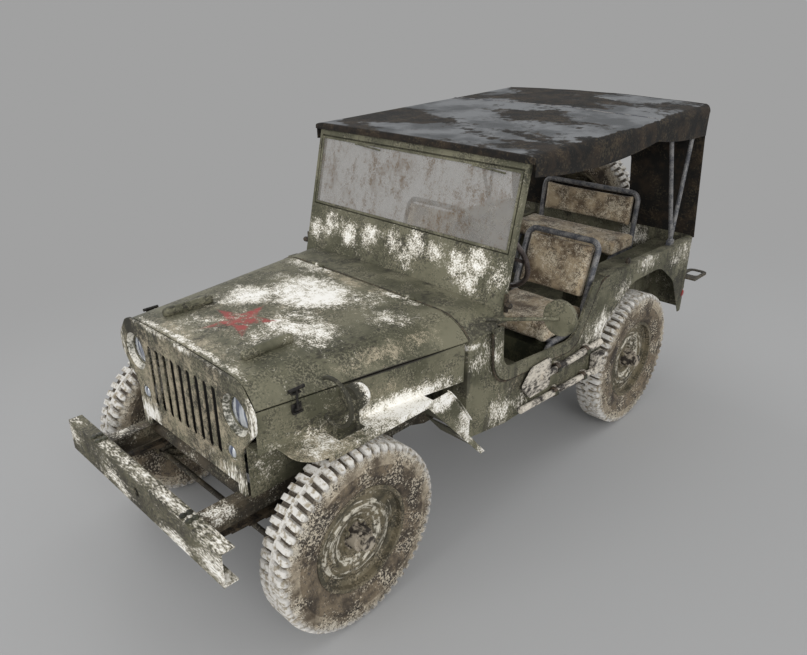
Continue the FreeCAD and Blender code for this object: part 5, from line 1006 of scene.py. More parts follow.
def joined(meshes: Sequence[Mesh], name: str) -> Mesh:
    """Put several meshes into one, with their materials."""
    work = bmesh.new()
    materials: list[Material] = []
    for mesh in meshes:
        start = len(work.faces)
        work.from_mesh(mesh)
        work.faces.ensure_lookup_table()
        local = [materials.index(m) if m in materials else materials.append(m) or len(materials) - 1
                 for m in mesh.materials]
        for face in work.faces[start:]:
            if local:
                face.material_index = local[min(face.material_index, len(local) - 1)]
    out = bpy.data.meshes.new(name)
    work.to_mesh(out)
    work.free()
    for material in materials:
        out.materials.append(material)
    return out


# Tyres and wheels


@dataclass
class TyreSet:
    """The five bar-tread tyres, sizes in metres."""

    rubber: Material
    repeater: Repeater
    radius: float = 0.375
    depth: float = 0.014
    half_width: float = 0.0745
    bead: float = 0.2055
    steps: int = 96
    bars: int = 56
    bar_half: float = 0.0134
    bar_skew: float = 0.007
    rib_half: float = 0.0075
    crown: float = field(init=False)

    def __post_init__(self) -> None:
        """Work out the carcass radius under the bars."""
        self.crown = self.radius - self.depth

    def profile(self) -> list[tuple[float, float]]:
        """Section of the carcass from one bead to the other."""
        half = [(0.0, self.crown), (0.030, self.crown - 0.0005), (0.052, self.crown - 0.003),
                (0.063, self.crown - 0.009), (0.069, self.crown - 0.020), (0.0725, 0.325), (0.0738, 0.313),
                (0.0722, 0.311), (0.0742, 0.306), (0.0745, 0.290), (0.0738, 0.272), (0.0712, 0.252),
                (0.0694, 0.250), (0.0698, 0.246), (0.0665, 0.232), (0.0620, 0.220), (0.0575, 0.2165),
                (0.0555, 0.2125), (0.0520, self.bead)]
        return [(-x, r) for x, r in reversed(half[1:])] + half

    def bar(self, side: int) -> Mesh:
        """One tread bar at the bottom of the tyre, from the middle rib out and down the shoulder."""
        rows = []
        ease = 0.002
        steps = ((self.rib_half - 0.001, 0.0), (0.050, 0.0), (0.063, 0.004), (0.0708, 0.014), (0.0724, 0.030))
        for x, drop in steps:
            shoulder = x > 0.06
            top = self.radius - drop - (0.001 if shoulder else 0.0004)
            base = self.crown - 0.016 - drop if shoulder else self.crown - 0.006
            half = self.bar_half * (0.78 if drop > 0.010 else 1.0)
            lean = self.bar_skew * x / self.half_width
            section = ((-half, base), (-half + ease, top), (half - ease, top), (half, base))
            rows.append([Vector((side * x, lean + y, -z)) for y, z in section])
        return skin(rows, "bar", close_columns=True, capped=True)

    def rib(self) -> Mesh:
        """The rib that runs round the middle of the tread."""
        half, low, high = self.rib_half, self.crown - 0.004, self.radius - 0.0005
        loop = [(-half, low), (-half + 0.002, high), (half - 0.002, high), (half, low), (-half, low)]
        return from_bmesh(spun(loop, self.steps), "rib", WELD)

    def build(self, node: str, body: str) -> None:
        """Build one tyre where its node stands.

        Args:
            node: The tyre's node.
            body: The body it rides on.
        """
        section = self.profile()
        carcass = from_bmesh(spun(section + section[:1], self.steps), "carcass", WELD)
        plain = len(carcass.vertices)
        parts = [carcass, self.rib()]
        for shift, side in ((0.0, 1), (0.5, -1)):
            start = shift * 2 * math.pi / self.bars
            parts.append(self.repeater.ring(self.bar(side), self.bars, start, self.rubber))
        mesh = joined(parts, node + "_dressed")
        mesh.materials.clear()
        reach = mesh.attributes.new("reach", "FLOAT", "POINT")
        reach.data.foreach_set("value", [math.hypot(v.co.y, v.co.z) / self.radius for v in mesh.vertices])
        raised = mesh.attributes.new("bar", "FLOAT", "POINT")
        raised.data.foreach_set("value", [0.0 if i < plain else 1.0 for i in range(len(mesh.vertices))])
        if node == "spare_tyre":
            mesh.transform(Matrix.Rotation(math.radians(90), 4, "Z"))
        mesh.transform(Matrix.Translation(middle(node)))
        keep_piece(mesh, node + "_dressed", body, self.rubber, [node], 35.0)


# Canvas top


@dataclass
class CanvasTop:
    """Canvas roof and rear curtain, sizes in millimetres from the front axle's middle."""

    cloth: Material
    half: float = 659.0
    curve: float = 34.0
    front: float = 957.0
    rear: float = 2556.0
    mid: float = 1998.0
    heights: Triple = (1633.5, 1681.5, 1703.5)
    crown_front: float = 4.0
    crown_rear: float = 14.0
    bows: tuple[float, ...] = (957.0, 1620.0, 2161.0, 2466.0, 2556.0)
    thick: float = 0.0025
    sag_depth: float = 4.0
    sag_span: float = 600.0
    smooth: float = 60.0
    drop_steps: int = 7
    fold_steps: int = 6
    across_steps: int = 28
    hem_front: float = 936.0
    hem_turn: float = 1985.0
    hem_rear: float = 2576.0

    def top(self, y: float) -> float:
        """Height of the middle line at y, without the sag between the bows."""
        front, mid, rear = self.heights
        if y < self.mid:
            return front + (mid - front) * (y - self.front) / (self.mid - self.front)
        return mid + (rear - mid) * (y - self.mid) / (self.rear - self.mid)

    def sag(self, x: float, y: float) -> float:
        """How far the cloth hangs between its supports."""
        for a, b in zip(self.bows, self.bows[1:]):
            if a <= y <= b:
                share = (y - a) / (b - a)
                span = min(1.0, (b - a) / self.sag_span)
                wide = 1 - (x / self.half) ** 4
                return -self.sag_depth * span * math.sin(math.pi * share) * max(0.0, wide)
        return 0.0

    def hem(self, y: float) -> float:
        """Height of the side drop's lower edge at y."""
        low, rise, drop = 1556.0, 10.0, 38.0
        if y < self.hem_turn:
            share = (y - self.hem_front) / (self.hem_turn - self.hem_front)
            return low + rise * share - drop * 4 * share * (1 - share)
        share = (y - self.hem_turn) / (self.hem_rear - self.hem_turn)
        return low + rise - drop * (1 - (1 - share) ** 2.6)

    def row(self, y: float) -> list[Vector]:
        """One row of the roof from its left hem to its right hem."""
        share = min(1.0, (y - self.front) / (self.mid - self.front))
        crown = self.crown_front + (self.crown_rear - self.crown_front) * share
        top = self.top(y)
        edge = top - crown
        flat = self.half - self.curve
        drop, fold, across = self.drop_steps, self.fold_steps, self.across_steps
        hem = self.hem(y)
        points = [(self.half, hem + (edge - self.curve - hem) * k / drop) for k in range(drop)]
        for k in range(fold + 1):
            a = math.pi / 2 * k / fold
            points.append((flat + self.curve * math.cos(a), edge - self.curve + self.curve * math.sin(a)))
        for k in range(1, across):
            x = flat * (1 - 2 * k / across)
            points.append((x, top - crown * (x / flat) ** 2))
        points += [(-x, z) for x, z in reversed(points[:drop + fold + 1])]
        row = []
        for x, z in points:
            wrinkle = noise.noise(Vector((x * 0.004, y * 0.0016, z * 0.003))) * 2.6
            wrinkle += noise.noise(Vector((x * 0.012, y * 0.004, z * 0.010))) * 1.3
            if abs(x) > flat:
                x += math.copysign(min(0.0, wrinkle * 1.6 - 1.5), x)
            else:
                z += self.sag(x, y) + min(0.0, wrinkle - 1.0)
            row.append(car(x, y, z))
        return row

    def roof(self) -> None:
        """Build the roof sheet with its side drops."""
        steps, measured = 72, 30
        rows = [self.row(self.front + (self.rear - self.front) * i / steps) for i in range(steps + 1)]
        mesh = skin(rows, "canvas_roof_sheet")
        piece = keep_piece(mesh, "canvas_roof_sheet", "chassis", self.cloth, ["canvas_roof"],
                           self.smooth)
        self._thicken(piece)

    def _thicken(self, piece: Object) -> None:
        """Give a sheet its thickness as plain mesh."""
        flat = piece.data.attributes.new("flat", "FLOAT", "POINT")
        level = [min(1.0, max(0.0, (v.normal.z - 0.55) / 0.4)) for v in piece.data.vertices]
        flat.data.foreach_set("value", level)
        modifier = piece.modifiers.new("thick", "SOLIDIFY")
        modifier.thickness = self.thick
        modifier.offset = 0.0
        mesh = evaluated(piece)
        mesh.set_sharp_from_angle(angle=math.radians(self.smooth))
        piece.modifiers.clear()
        piece.data = mesh

    def curtain(self) -> None:
        """Build the leaning rear curtain round its window."""
        half, low, high = 650.0, 928.0, 1686.0
        window_half, window_low, window_high = 228.0, 1130.0, 1373.0
        lean_top, lean_low, top, foot = 2549.5, 2673.0, 1704.0, 926.0
        centre = (window_low + window_high) / 2
        inner = rounded_loop(window_half, (window_high - window_low) / 2, 30.0, 10)
        rows = []
        rings, tiny = 18, 1e-6
        for i in range(rings + 1):
            share = (i / rings) ** 1.15
            row = []
            for x, z in inner:
                up = (high if z > 0 else low) - centre
                reach = half / abs(x) if abs(x) > tiny else math.inf
                if abs(z) > tiny:
                    reach = min(reach, up / z)
                px = x * (1 + (reach - 1) * share)
                pz = centre + z * (1 + (reach - 1) * share)
                lean = lean_top + (lean_low - lean_top) * (top - pz) / (top - foot)
                fold = noise.noise(Vector((px * 0.009, 3.0, pz * 0.0022))) * 7.0 * share
                row.append(car(px, lean + min(2.0, max(-6.0, fold)), pz))
            rows.append(row)
        mesh = skin(rows, "rear_curtain_sheet", close_columns=True)
        piece = keep_piece(mesh, "rear_curtain_sheet", "chassis", self.cloth, ["rear_curtain"],
                           self.smooth)
        self._thicken(piece)


# Padding


@dataclass(frozen=True)
class Pad:
    """One cushion or back pad, its box in millimetres before it leans."""

    name: str
    low: Triple
    high: Triple
    lean: float = 0.0
    about: tuple[float, float] = (0.0, 0.0)
    swell: float = 0.009


@dataclass
class Upholstery:
    """Makes the padded pieces by cloth simulation."""

    cover: Material
    voxel: float = 0.0062
    coarse: float = 0.014
    pressure: float = 4.0
    frames: int = 20
    shrink: float = 0.004
    ease: float = 0.22
    seam_shift: float = 0.18
    seam_near: float = 0.010
    seam_pull: float = 0.003

    def blank(self, pad: Pad) -> Mesh:
        """Rounded block a little smaller than the pad's room."""
        low, high = car(*pad.low), car(*pad.high)
        work = bmesh.new()
        bmesh.ops.create_cube(work, size=1.0)
        size = high - low - Vector((self.shrink, self.shrink, self.shrink)) * 2
        for vert in work.verts:
            vert.co = (low + high) / 2 + Vector(vert.co[i] * size[i] for i in range(3))
        bmesh.ops.bevel(work, geom=work.edges[:], offset=min(size) * self.ease, segments=3, profile=0.6,
                        affect="EDGES")
        return from_bmesh(work, pad.name)

    def inflate(self, mesh: Mesh, pad: Pad) -> Mesh:
        """Remesh, swell under pressure and cap how far each point moves.

        Args:
            mesh: The block.
            pad: The pad's sizes.

        Returns:
            The swollen mesh.
        """
        piece = put(pad.name, mesh)
        remesh = piece.modifiers.new("even", "REMESH")
        remesh.mode, remesh.voxel_size = "VOXEL", self.voxel
        bpy.context.view_layer.update()
        even = evaluated(piece)
        piece.modifiers.clear()
        piece.data = even
        rest = [v.co.copy() for v in even.vertices]
        swollen = even
        cloth = piece.modifiers.new("swell", "CLOTH")
        cloth.settings.use_pressure = True
        cloth.settings.uniform_pressure_force = self.pressure
        cloth.settings.quality = 4
        cloth.settings.effector_weights.gravity = 0.0
        scene = bpy.context.scene
        for step in range(1, self.frames + 1):
            scene.frame_set(step)
        swollen = evaluated(piece)
        for vert, home in zip(swollen.vertices, rest):
            move = vert.co - home
            if move.length > pad.swell:
                vert.co = home + move.normalized() * pad.swell
        scene.frame_set(1)
        piece.modifiers.clear()
        bpy.data.objects.remove(piece)
        return swollen

    def build(self, pad: Pad, body: str,
              mirror_to: Optional[tuple[str, str]] = None) -> list[Object]:
        """Build one pad, and its twin on the other side when asked.

        Args:
            pad: The pad's sizes.
            body: The body it rides on.
            mirror_to: The twin's name and body, if it has one.

        Returns:
            The padded pieces.
        """
        mesh = self.inflate(self.blank(pad), pad)
        self.seams(mesh, pad)
        if pad.lean:
            pivot = car(0.0, pad.about[0], pad.about[1])
            turn = Matrix.Rotation(math.radians(-pad.lean), 4, "X")
            mesh.transform(Matrix.Translation(pivot) @ turn @ Matrix.Translation(-pivot))
        pieces = []
        if mirror_to:
            twin = mesh.copy()
            flip = Matrix.Scale(-1, 4, Vector((1, 0, 0)))
            twin.transform(Matrix.Translation(Vector((2 * ORIGIN.x, 0, 0))) @ flip)
            twin.flip_normals()
            pieces.append(keep_piece(twin, mirror_to[0], mirror_to[1], self.cover,
                                     (), ALL_SMOOTH))
        pieces.insert(0, keep_piece(mesh, pad.name, body, self.cover, (), ALL_SMOOTH))
        return pieces

    def seams(self, mesh: Mesh, pad: Pad) -> None:
        """Draw the cover in along a seam round the pad's edge."""
        low, high = car(*pad.low), car(*pad.high)
        size = high - low
        thin = min(range(3), key=lambda i: size[i])
        centre = (low + high) / 2
        plane = (low[thin] + high[thin]) / 2 + size[thin] * self.seam_shift
        for vert in mesh.vertices:
            away = abs(vert.co[thin] - plane)
            if away < self.seam_near:
                pull = Vector(0.0 if i == thin else centre[i] - vert.co[i] for i in range(3)).normalized()
                vert.co += pull * self.seam_pull * (1 - away / self.seam_near)


# Trim


@dataclass
class Trim:
    """Small fittings that only the looks need, sizes in millimetres from the front axle's middle."""

    repeater: Repeater
    paint: Material
    dark: Material
    steel: Material
    cloth: Material
    wheels: dict[str, Material]
    seam_y: float = 638.0
    seam_half: float = 628.0
    seam_reach: float = 170.0
    seam_drop: float = 84.0
    seam_edge: float = 1038.0
    seam_top: float = 1042.0
    headlamp: tuple[float, float] = (353.0, 893.0)
    marker: tuple[float, float] = (308.0, 724.0)
    body_half: float = 668.0
    dash_y: float = 806.0
    tools_x: float = 690.0

    @staticmethod
    def keep(name: str, slot: str, material: Material, parts: Sequence[Mesh],
             body: str = "chassis") -> None:
        """Join some meshes and keep them as one piece.

        Args:
            name: The piece's name.
            slot: Not used.
            material: Its material.
            parts: The meshes.
            body: The body it rides on.
        """
        keep_piece(joined(parts, name), name, body, material)

    def seam_line(self, lift: float) -> list[tuple[float, float]]:
        """Points (x, z) across the car where hood and cowl meet, lifted off the sheet."""
        curve = (self.seam_reach ** 2 + self.seam_drop ** 2) / (2 * self.seam_drop)
        turn = math.asin(self.seam_reach / curve)
        flat = self.seam_half - self.seam_reach
        steps = 10
        side = [(flat + (curve + lift) * math.sin(a), self.seam_edge - curve + (curve + lift) * math.cos(a))
                for a in (turn * k / steps for k in range(steps, 0, -1))]
        middle_part = [(x, self.seam_top + lift - (self.seam_top - self.seam_edge) * (x / flat) ** 2)
                       for x in (flat * (1 - k / steps) for k in range(2 * steps + 1))]
        return side + middle_part + [(-x, z) for x, z in reversed(side)]

    def hood_seam(self) -> None:
        """Pressed bead and dark welt where the hood meets the cowl."""
        section = ((-3.0, -1.0), (0.0, 3.0), (5.0, 4.0), (11.0, 4.0), (16.0, 3.0), (19.0, -1.0))
        rows = [[car(x, self.seam_y + y, z) for x, z in self.seam_line(lift)] for y, lift in section]
        self.keep("cowl_bead", "body_paint", self.paint, [skin(rows, "bead", close_rows=True, capped=True)])
        welt = bar([(x, self.seam_y - 5.0, z) for x, z in self.seam_line(0.5)], 2.6, 6)
        self.keep("hood_welt", "dark_steel", self.dark, [welt])

    def catches(self) -> None:
        """T-handled hood catches and their brackets."""
        fixed, hooked = [], []
        for side in SIDES:
            x = side * 499.0
            fixed += [bar([(x, -158, 990), (x, -92, 990)], 6.5, 10),
                      bar([(x, -125, 990), (x + side * 2, -125, 908)], 5.0, 10),
                      bar([(x, -138, 912), (x, -112, 912)], 6.0, 10),
                      block((x - 8, -146, 896), (x + 5, -104, 904)),
                      block((x - 9, -146, 896), (x - 4, -104, 932))]
            hooked += [block((x - 14, -142, 966), (x - 7, -108, 984)),
                       block((x - 10, -142, 972), (x + 6, -108, 977))]
        black = PlainFinish("catch_black", tint(14, 13, 12), tint(42, 38, 33), scale=40.0, rough=0.55).build()
        self.keep("hood_catches", "dark_steel", black, fixed)
        self.keep("hood_catch_hooks", "dark_steel", black, hooked, "hood")

    def lenses(self) -> None:
        """Glass and rims of the headlamps and marker lamps, and the red lenses at the rear."""
        # Lens colour striped with painted reflection.
        blue = lamp_glass("lamp_lens", tint(84, 92, 112), tint(206, 210, 214))
        (head_x, head_z), (mark_x, mark_z) = self.headlamp, self.marker
        front = []
        for side in SIDES:
            front += [button(car(side * head_x, -250.6, head_z), FORWARD, 0.0605, 0.0098, sides=40, rings=6),
                      button(car(side * mark_x, -278.8, mark_z), FORWARD, 0.0245, 0.0075, sides=28, rings=5)]
        rims = [ring_bar(car(side * head_x, -257.0, head_z), FORWARD, 0.0615, 0.0032) for side in SIDES]
        rims += [ring_bar(car(side * mark_x, -279.0, mark_z), FORWARD, 0.0268, 0.0028) for side in SIDES]
        self.keep("lamp_lenses", "lamp_metal", blue, front)
        self.keep("lamp_rims", "body_paint", self.paint, rims)
        # Red lenses with painted highlights in their striped colour.
        red = lamp_glass("red_lens", tint(96, 18, 14), tint(158, 40, 30))
        rear = [button(car(side * 600, 2689.6, 612), REARWARD, 0.0285, 0.006, sides=28, rings=5)
                for side in SIDES]
        rear += [button(car(side * 667.6, 2597, 608), (side, 0, 0), 0.021, 0.006, sides=24, rings=4)
                 for side in SIDES]
        self.keep("red_lenses", "lamp_metal", red, rear)

    def heads(self) -> None:
        """Bolt heads on the bumper and rivets along the body's edges."""
        bolts = [button(car(x, y, 579.4), UP, 0.013, 0.010, sides=6, rings=2, flat=0.007)
                 for x in (-365, -325, 325, 365) for y in (-505, -480)]
        self.keep("bumper_bolts", "frame_paint", self.steel, bolts)
        rivet = button(Vector(), UP, 0.0052, 0.003, sides=8, rings=2)
        rows = []
        for side in SIDES:
            face = side * self.body_half
            for start, end, z in ((1585, 2540, 951), (1400, 2040, 516), (880, 1340, 516)):
                rows.append(self.line_of(rivet, (face, start, z), (face, end, z), (side, 0, 0)))
        rows += [self.line_of(rivet, (-560, 2660, z), (560, 2660, z), REARWARD) for z in (940, 530)]
        self.keep("body_rivets", "body_paint", self.paint, rows)

    def line_of(self, item: Mesh, start: Triple, end: Triple, facing: Triple, step: float = 62.0) -> Mesh:
        """Repeat an item along a straight line.

        Args:
            item: What is repeated, facing up.
            start: First point in car millimetres.
            end: Last point.
            facing: The way that each item faces.
            step: Spacing in millimetres.

        Returns:
            The repeated items.
        """
        turn = Vector(facing).to_track_quat("Z", "Y").to_euler()
        return self.repeater.row(item, [car(*start), car(*end)], step / MM, tuple(turn), self.paint)

    def fender_cheeks(self) -> None:
        """Side cheek and rolled lip where each front fender bends down."""
        parts = []
        for side in SIDES:
            outline = [car(side * 636.5, y, z) for y, z in
                       ((368, 776), (505, 778), (560, 706), (640, 590), (640, 486), (384, 756))]
            parts.append(prism(outline, Vector((side * 0.004, 0, 0)), 0.001))
            rows = []
            for y, z in ((500, 779), (560, 709), (641, 590)):
                p = car(side * 634, y, z)
                rows.append([p + Vector((side * out, back, up)) for out, back, up in
                             ((0, 0, 0), (0.018, 0, 0.001), (0.018, 0.001, 0.005), (0, 0.001, 0.005))])
            parts.append(skin(rows, "lip", close_columns=True, capped=True))
        self.keep("fender_cheeks", "body_paint", NODES["fender_left"].data.materials[0], parts)

    def door_lines(self) -> None:
        """Dark bar round the rolled lip of each door opening, standing in as painted shade for the lip's
        groove.
        """
        corners = (((743.5, 713.5), 142.0), ((1394.0, 665.5), 143.0), ((1574.5, 972.0), 120.0))
        steps = 12
        path = [(729.5, 960.0)]
        chain = [(729.5, 975.0)] + [place for place, _ in corners] + [(2560.0, 951.0)]
        for before, (place, curve), after in zip(chain, corners, chain[2:]):
            here = Vector(place)
            into, out = (here - Vector(before)).normalized(), (Vector(after) - here).normalized()
            reach = curve * math.tan(into.angle(out) / 2)
            first, last = here - into * reach, here + out * reach
            for share in (k / steps for k in range(steps + 1)):
                bend = first * (1 - share) ** 2 + here * 2 * share * (1 - share) + last * share ** 2
                path.append((bend.x, bend.y))
        # Painted shade: a thin dark bar where the groove outside the lip lies in shade.
        lines = [bar([(side * 672.0, y, z) for y, z in path], 5.0, 6) for side in SIDES]
        self.keep("door_lines", "dark_steel", self.dark, lines)

    def gauges(self) -> None:
        """Dials of the dash, each with its rim, hand and marks."""
        black = PlainFinish("gauge_black", tint(18, 18, 17), tint(34, 33, 31), scale=40.0, rough=0.35)
        cream = PlainFinish("gauge_cream", tint(150, 142, 120), tint(186, 178, 154), scale=40.0, rough=0.5)
        faces, rims, hands = [], [], []
        hand_y, mark_y = self.dash_y + 4, self.dash_y + 3.4
        marks, first_mark, sweep = 9, 225, 270
        for x, z, radius in ((150, 930, 40), (70, 955, 22), (70, 903, 22), (230, 955, 22), (230, 903, 22)):
            at_wall = car(x, self.dash_y, z)
            faces.append(button(at_wall, REARWARD, radius / MM, 0.003, sides=32, rings=2, flat=0.002))
            rims.append(ring_bar(at_wall + Vector((0, 0.003, 0)), REARWARD, radius / MM, 0.003))
            hands.append(bar([(x, hand_y, z), (x - radius * 0.45, hand_y, z + radius * 0.55)], 1.2, 6))
            for k in range(marks):
                a = math.radians(first_mark - sweep / (marks - 1) * k)
                ends = [(x + reach * math.cos(a), mark_y, z + reach * math.sin(a))
                        for reach in (radius * 0.72, radius * 0.86)]
                hands.append(bar(ends, 0.9, 4))
        self.keep("gauge_faces", "dark_steel", black.build(), faces)
        self.keep("gauge_rims", "body_paint", self.paint, rims)
        self.keep("gauge_marks", "lamp_metal", cream.build(), hands)

    def levers(self) -> None:
        """Pedals and the gear levers with their balls."""
        levers = []
        for x in (300, 385, 470):
            levers += [block((x - 26, 742, 672), (x + 26, 752, 726), 0.004),
                       bar([(x, 748, 690), (x, 770, 640), (x, 770, 566)], 7.0)]
        for x, y, tall in ((20, 1010, 880), (-50, 1040, 770), (-85, 1040, 770)):
            levers += [bar([(x, y, 566), (x, y - 10, 700), (x, y + 30, tall)], 7.0),
                       button(car(x, y + 30, tall - 10), (0, 0.2, 1), 0.019, 0.034, sides=16, rings=5,
                              flat=0.012)]
        self.keep("pedals_and_levers", "dark_steel", self.dark, levers)

    def knobs(self) -> None:
        """Small knobs on the body, the windscreen's side stays and the glass of the mirror."""
        knobs = []
        for side in SIDES:
            knobs += [button(car(side * 650, 1868, 974), UP, 0.013, 0.030, rings=4, flat=0.016),
                      block((side * 636 - 10, 846, 1010), (side * 636 + 10, 858, 1090), 0.002),
                      button(car(side * 640, 850, 1046), (side, -0.3, 0), 0.014, 0.034, flat=0.020)]
        self.keep("body_knobs", "body_paint", self.dark, knobs)
        # Mirror glass whose grey colour, striped light and dark, is a painted reflection.
        mirror = lamp_glass("mirror_glass", tint(120, 126, 132), tint(190, 196, 200), 0.06)
        glass = button(car(860, 919.4, 1034), REARWARD, 0.067, 0.003, sides=40, rings=3, flat=0.001)
        self.keep("mirror_glass", "lamp_metal", mirror, [glass])

    def straps(self) -> None:
        """Leather straps and buckles that hold the tools."""
        leather = PlainFinish("strap_leather", tint(48, 38, 30), tint(92, 76, 60), scale=50.0).build()
        bands, buckles = [], []
        for y in (1206, 1461):
            lower = 527 + (488 - 527) * (y - 932) / 704
            for z, radius in ((638, 20), (lower, 18)):
                rows = []
                for along, reach in ((-11, radius), (-11, radius + 3), (11, radius + 3), (11, radius)):
                    rows.append([car(self.tools_x, y, z) + Vector((p.x, along, p.y)) / MM
                                 for p in circle(reach, 0.0, 24)])
                bands.append(skin(rows, "band", close_rows=True, close_columns=True))
                face = self.tools_x + radius
                buckles.append(block((face - 1, y - 13, z - 11), (face + 4.5, y + 13, z + 11)))
        self.keep("tool_straps", "tool_wood", leather, bands)
        self.keep("tool_buckles", "dark_steel", self.steel, buckles)

    def front_flap(self, top: CanvasTop) -> None:
        """Hem of the roof that wraps round the windscreen's header."""
        count, corner = 40, 3
        fold, hem = 1620.0, 1610.0
        section = ((959.0, 1636.6), (951.5, 1634.5), (948.5, 1628.0), (949.5, 1606.0), (951.5, 1606.0),
                   (951.0, 1628.0), (953.0, 1632.0), (959.0, 1633.6))
        rows = []
        for y, z in section:
            row = []
            for k in range(-count, count + 1):
                drop = 4.0 * (k / count) ** 2
                if z > fold:
                    drop += 8.0 * max(0.0, (abs(k) - count + corner) / corner) ** 2
                wave = 2.0 * noise.noise(Vector((k * 0.6, 1.0, 8.0))) if z < hem else 0.0
                swing = 1.2 * noise.noise(Vector((k * 0.37, z * 0.02, 5.0)))
                row.append(car(660.0 * k / count, y + swing, z - drop + wave))
            rows.append(row)
        flap = skin(rows, "flap", close_rows=True, capped=True)
        self.keep("canvas_flap", "roof_canvas", top.cloth, [flap])

    def rear_flap(self, top: CanvasTop) -> None:
        """Hem of the roof that closes the slot above the rear curtain."""
        low = car(0.0, 0.0, 1648.0).z
        section = ((-0.004, -0.0022), (0.003, -0.0022), (0.0075, 0.003), (0.0085, None), (0.0055, None),
                   (0.0045, 0.005), (0.002, 0.0012), (-0.004, 0.0012))
        rows = []
        for back, drop in section:
            row = []
            for p in top.row(top.rear)[top.drop_steps:-top.drop_steps]:
                swing = 0.002 * noise.noise(Vector((p.x * 5, 0.0, back * 90))) if back > 0.002 else 0.0
                row.append(Vector((p.x, p.y + back + swing, low if drop is None else p.z - drop)))
            rows.append(row)
        flap = skin(rows, "flap", close_rows=True, capped=True)
        self.keep("rear_flap", "roof_canvas", top.cloth, [flap])

    def stitches(self, top: CanvasTop) -> None:
        """Seam across the middle of the roof and stitches along its side hems."""
        ends = top.drop_steps + 3
        across = [point + Vector((0.0, 0.0, 0.0016)) for point in top.row(top.mid)[ends:-ends]]
        self.keep("canvas_seam", "roof_canvas", self.cloth, [from_bmesh(tube(across, 0.0032), "seam")])
        stitch = from_bmesh(tube([Vector((0, 0, -0.005)), Vector((0, 0, 0.005))], 0.0011, 5), "stitch")
        rows = []
        for side in SIDES:
            points = [car(side * (top.half + 0.6), y, top.hem(y) + 24.0) for y in range(970, 2550, 30)]
            rows.append(self.repeater.row(stitch, points, 0.022, (math.pi / 2, 0.0, 0.0), self.cloth))
        self.keep("canvas_stitches", "roof_canvas", self.cloth, rows)

    def wheel_bolts(self) -> None:
        """Five nuts and eight cap screws on each wheel."""
        nut = button(Vector((0.0195, 0, -0.062)), (1, 0, 0), 0.0125, 0.018, sides=6, rings=3, flat=0.012)
        screw = button(Vector((0.0625, 0, -0.0395)), (1, 0, 0), 0.0050, 0.005, sides=6, rings=2, flat=0.003)
        for node, material in self.wheels.items():
            rings = [self.repeater.ring(item, count, 0.3, material) for item, count in ((nut, 5), (screw, 8))]
            mesh = joined(rings, node + "_nuts")
            if node == "spare_wheel":
                mesh.transform(Matrix.Rotation(math.radians(90), 4, "Z"))
            elif node.endswith("right"):
                mesh.transform(Matrix.Rotation(math.pi, 4, "Z"))
            mesh.transform(Matrix.Translation(middle(node.replace("wheel", "tyre"))))
            body = "chassis" if node == "spare_wheel" else node
            keep_piece(mesh, node + "_nuts", body, material)

    def build(self, top: CanvasTop) -> None:
        """Add every fitting."""
        self.hood_seam()
        self.catches()
        self.lenses()
        self.heads()
        self.fender_cheeks()
        self.door_lines()
        self.gauges()
        self.levers()
        self.knobs()
        self.straps()
        self.front_flap(top)
        self.rear_flap(top)
        self.stitches(top)
        self.wheel_bolts()


# Whole car


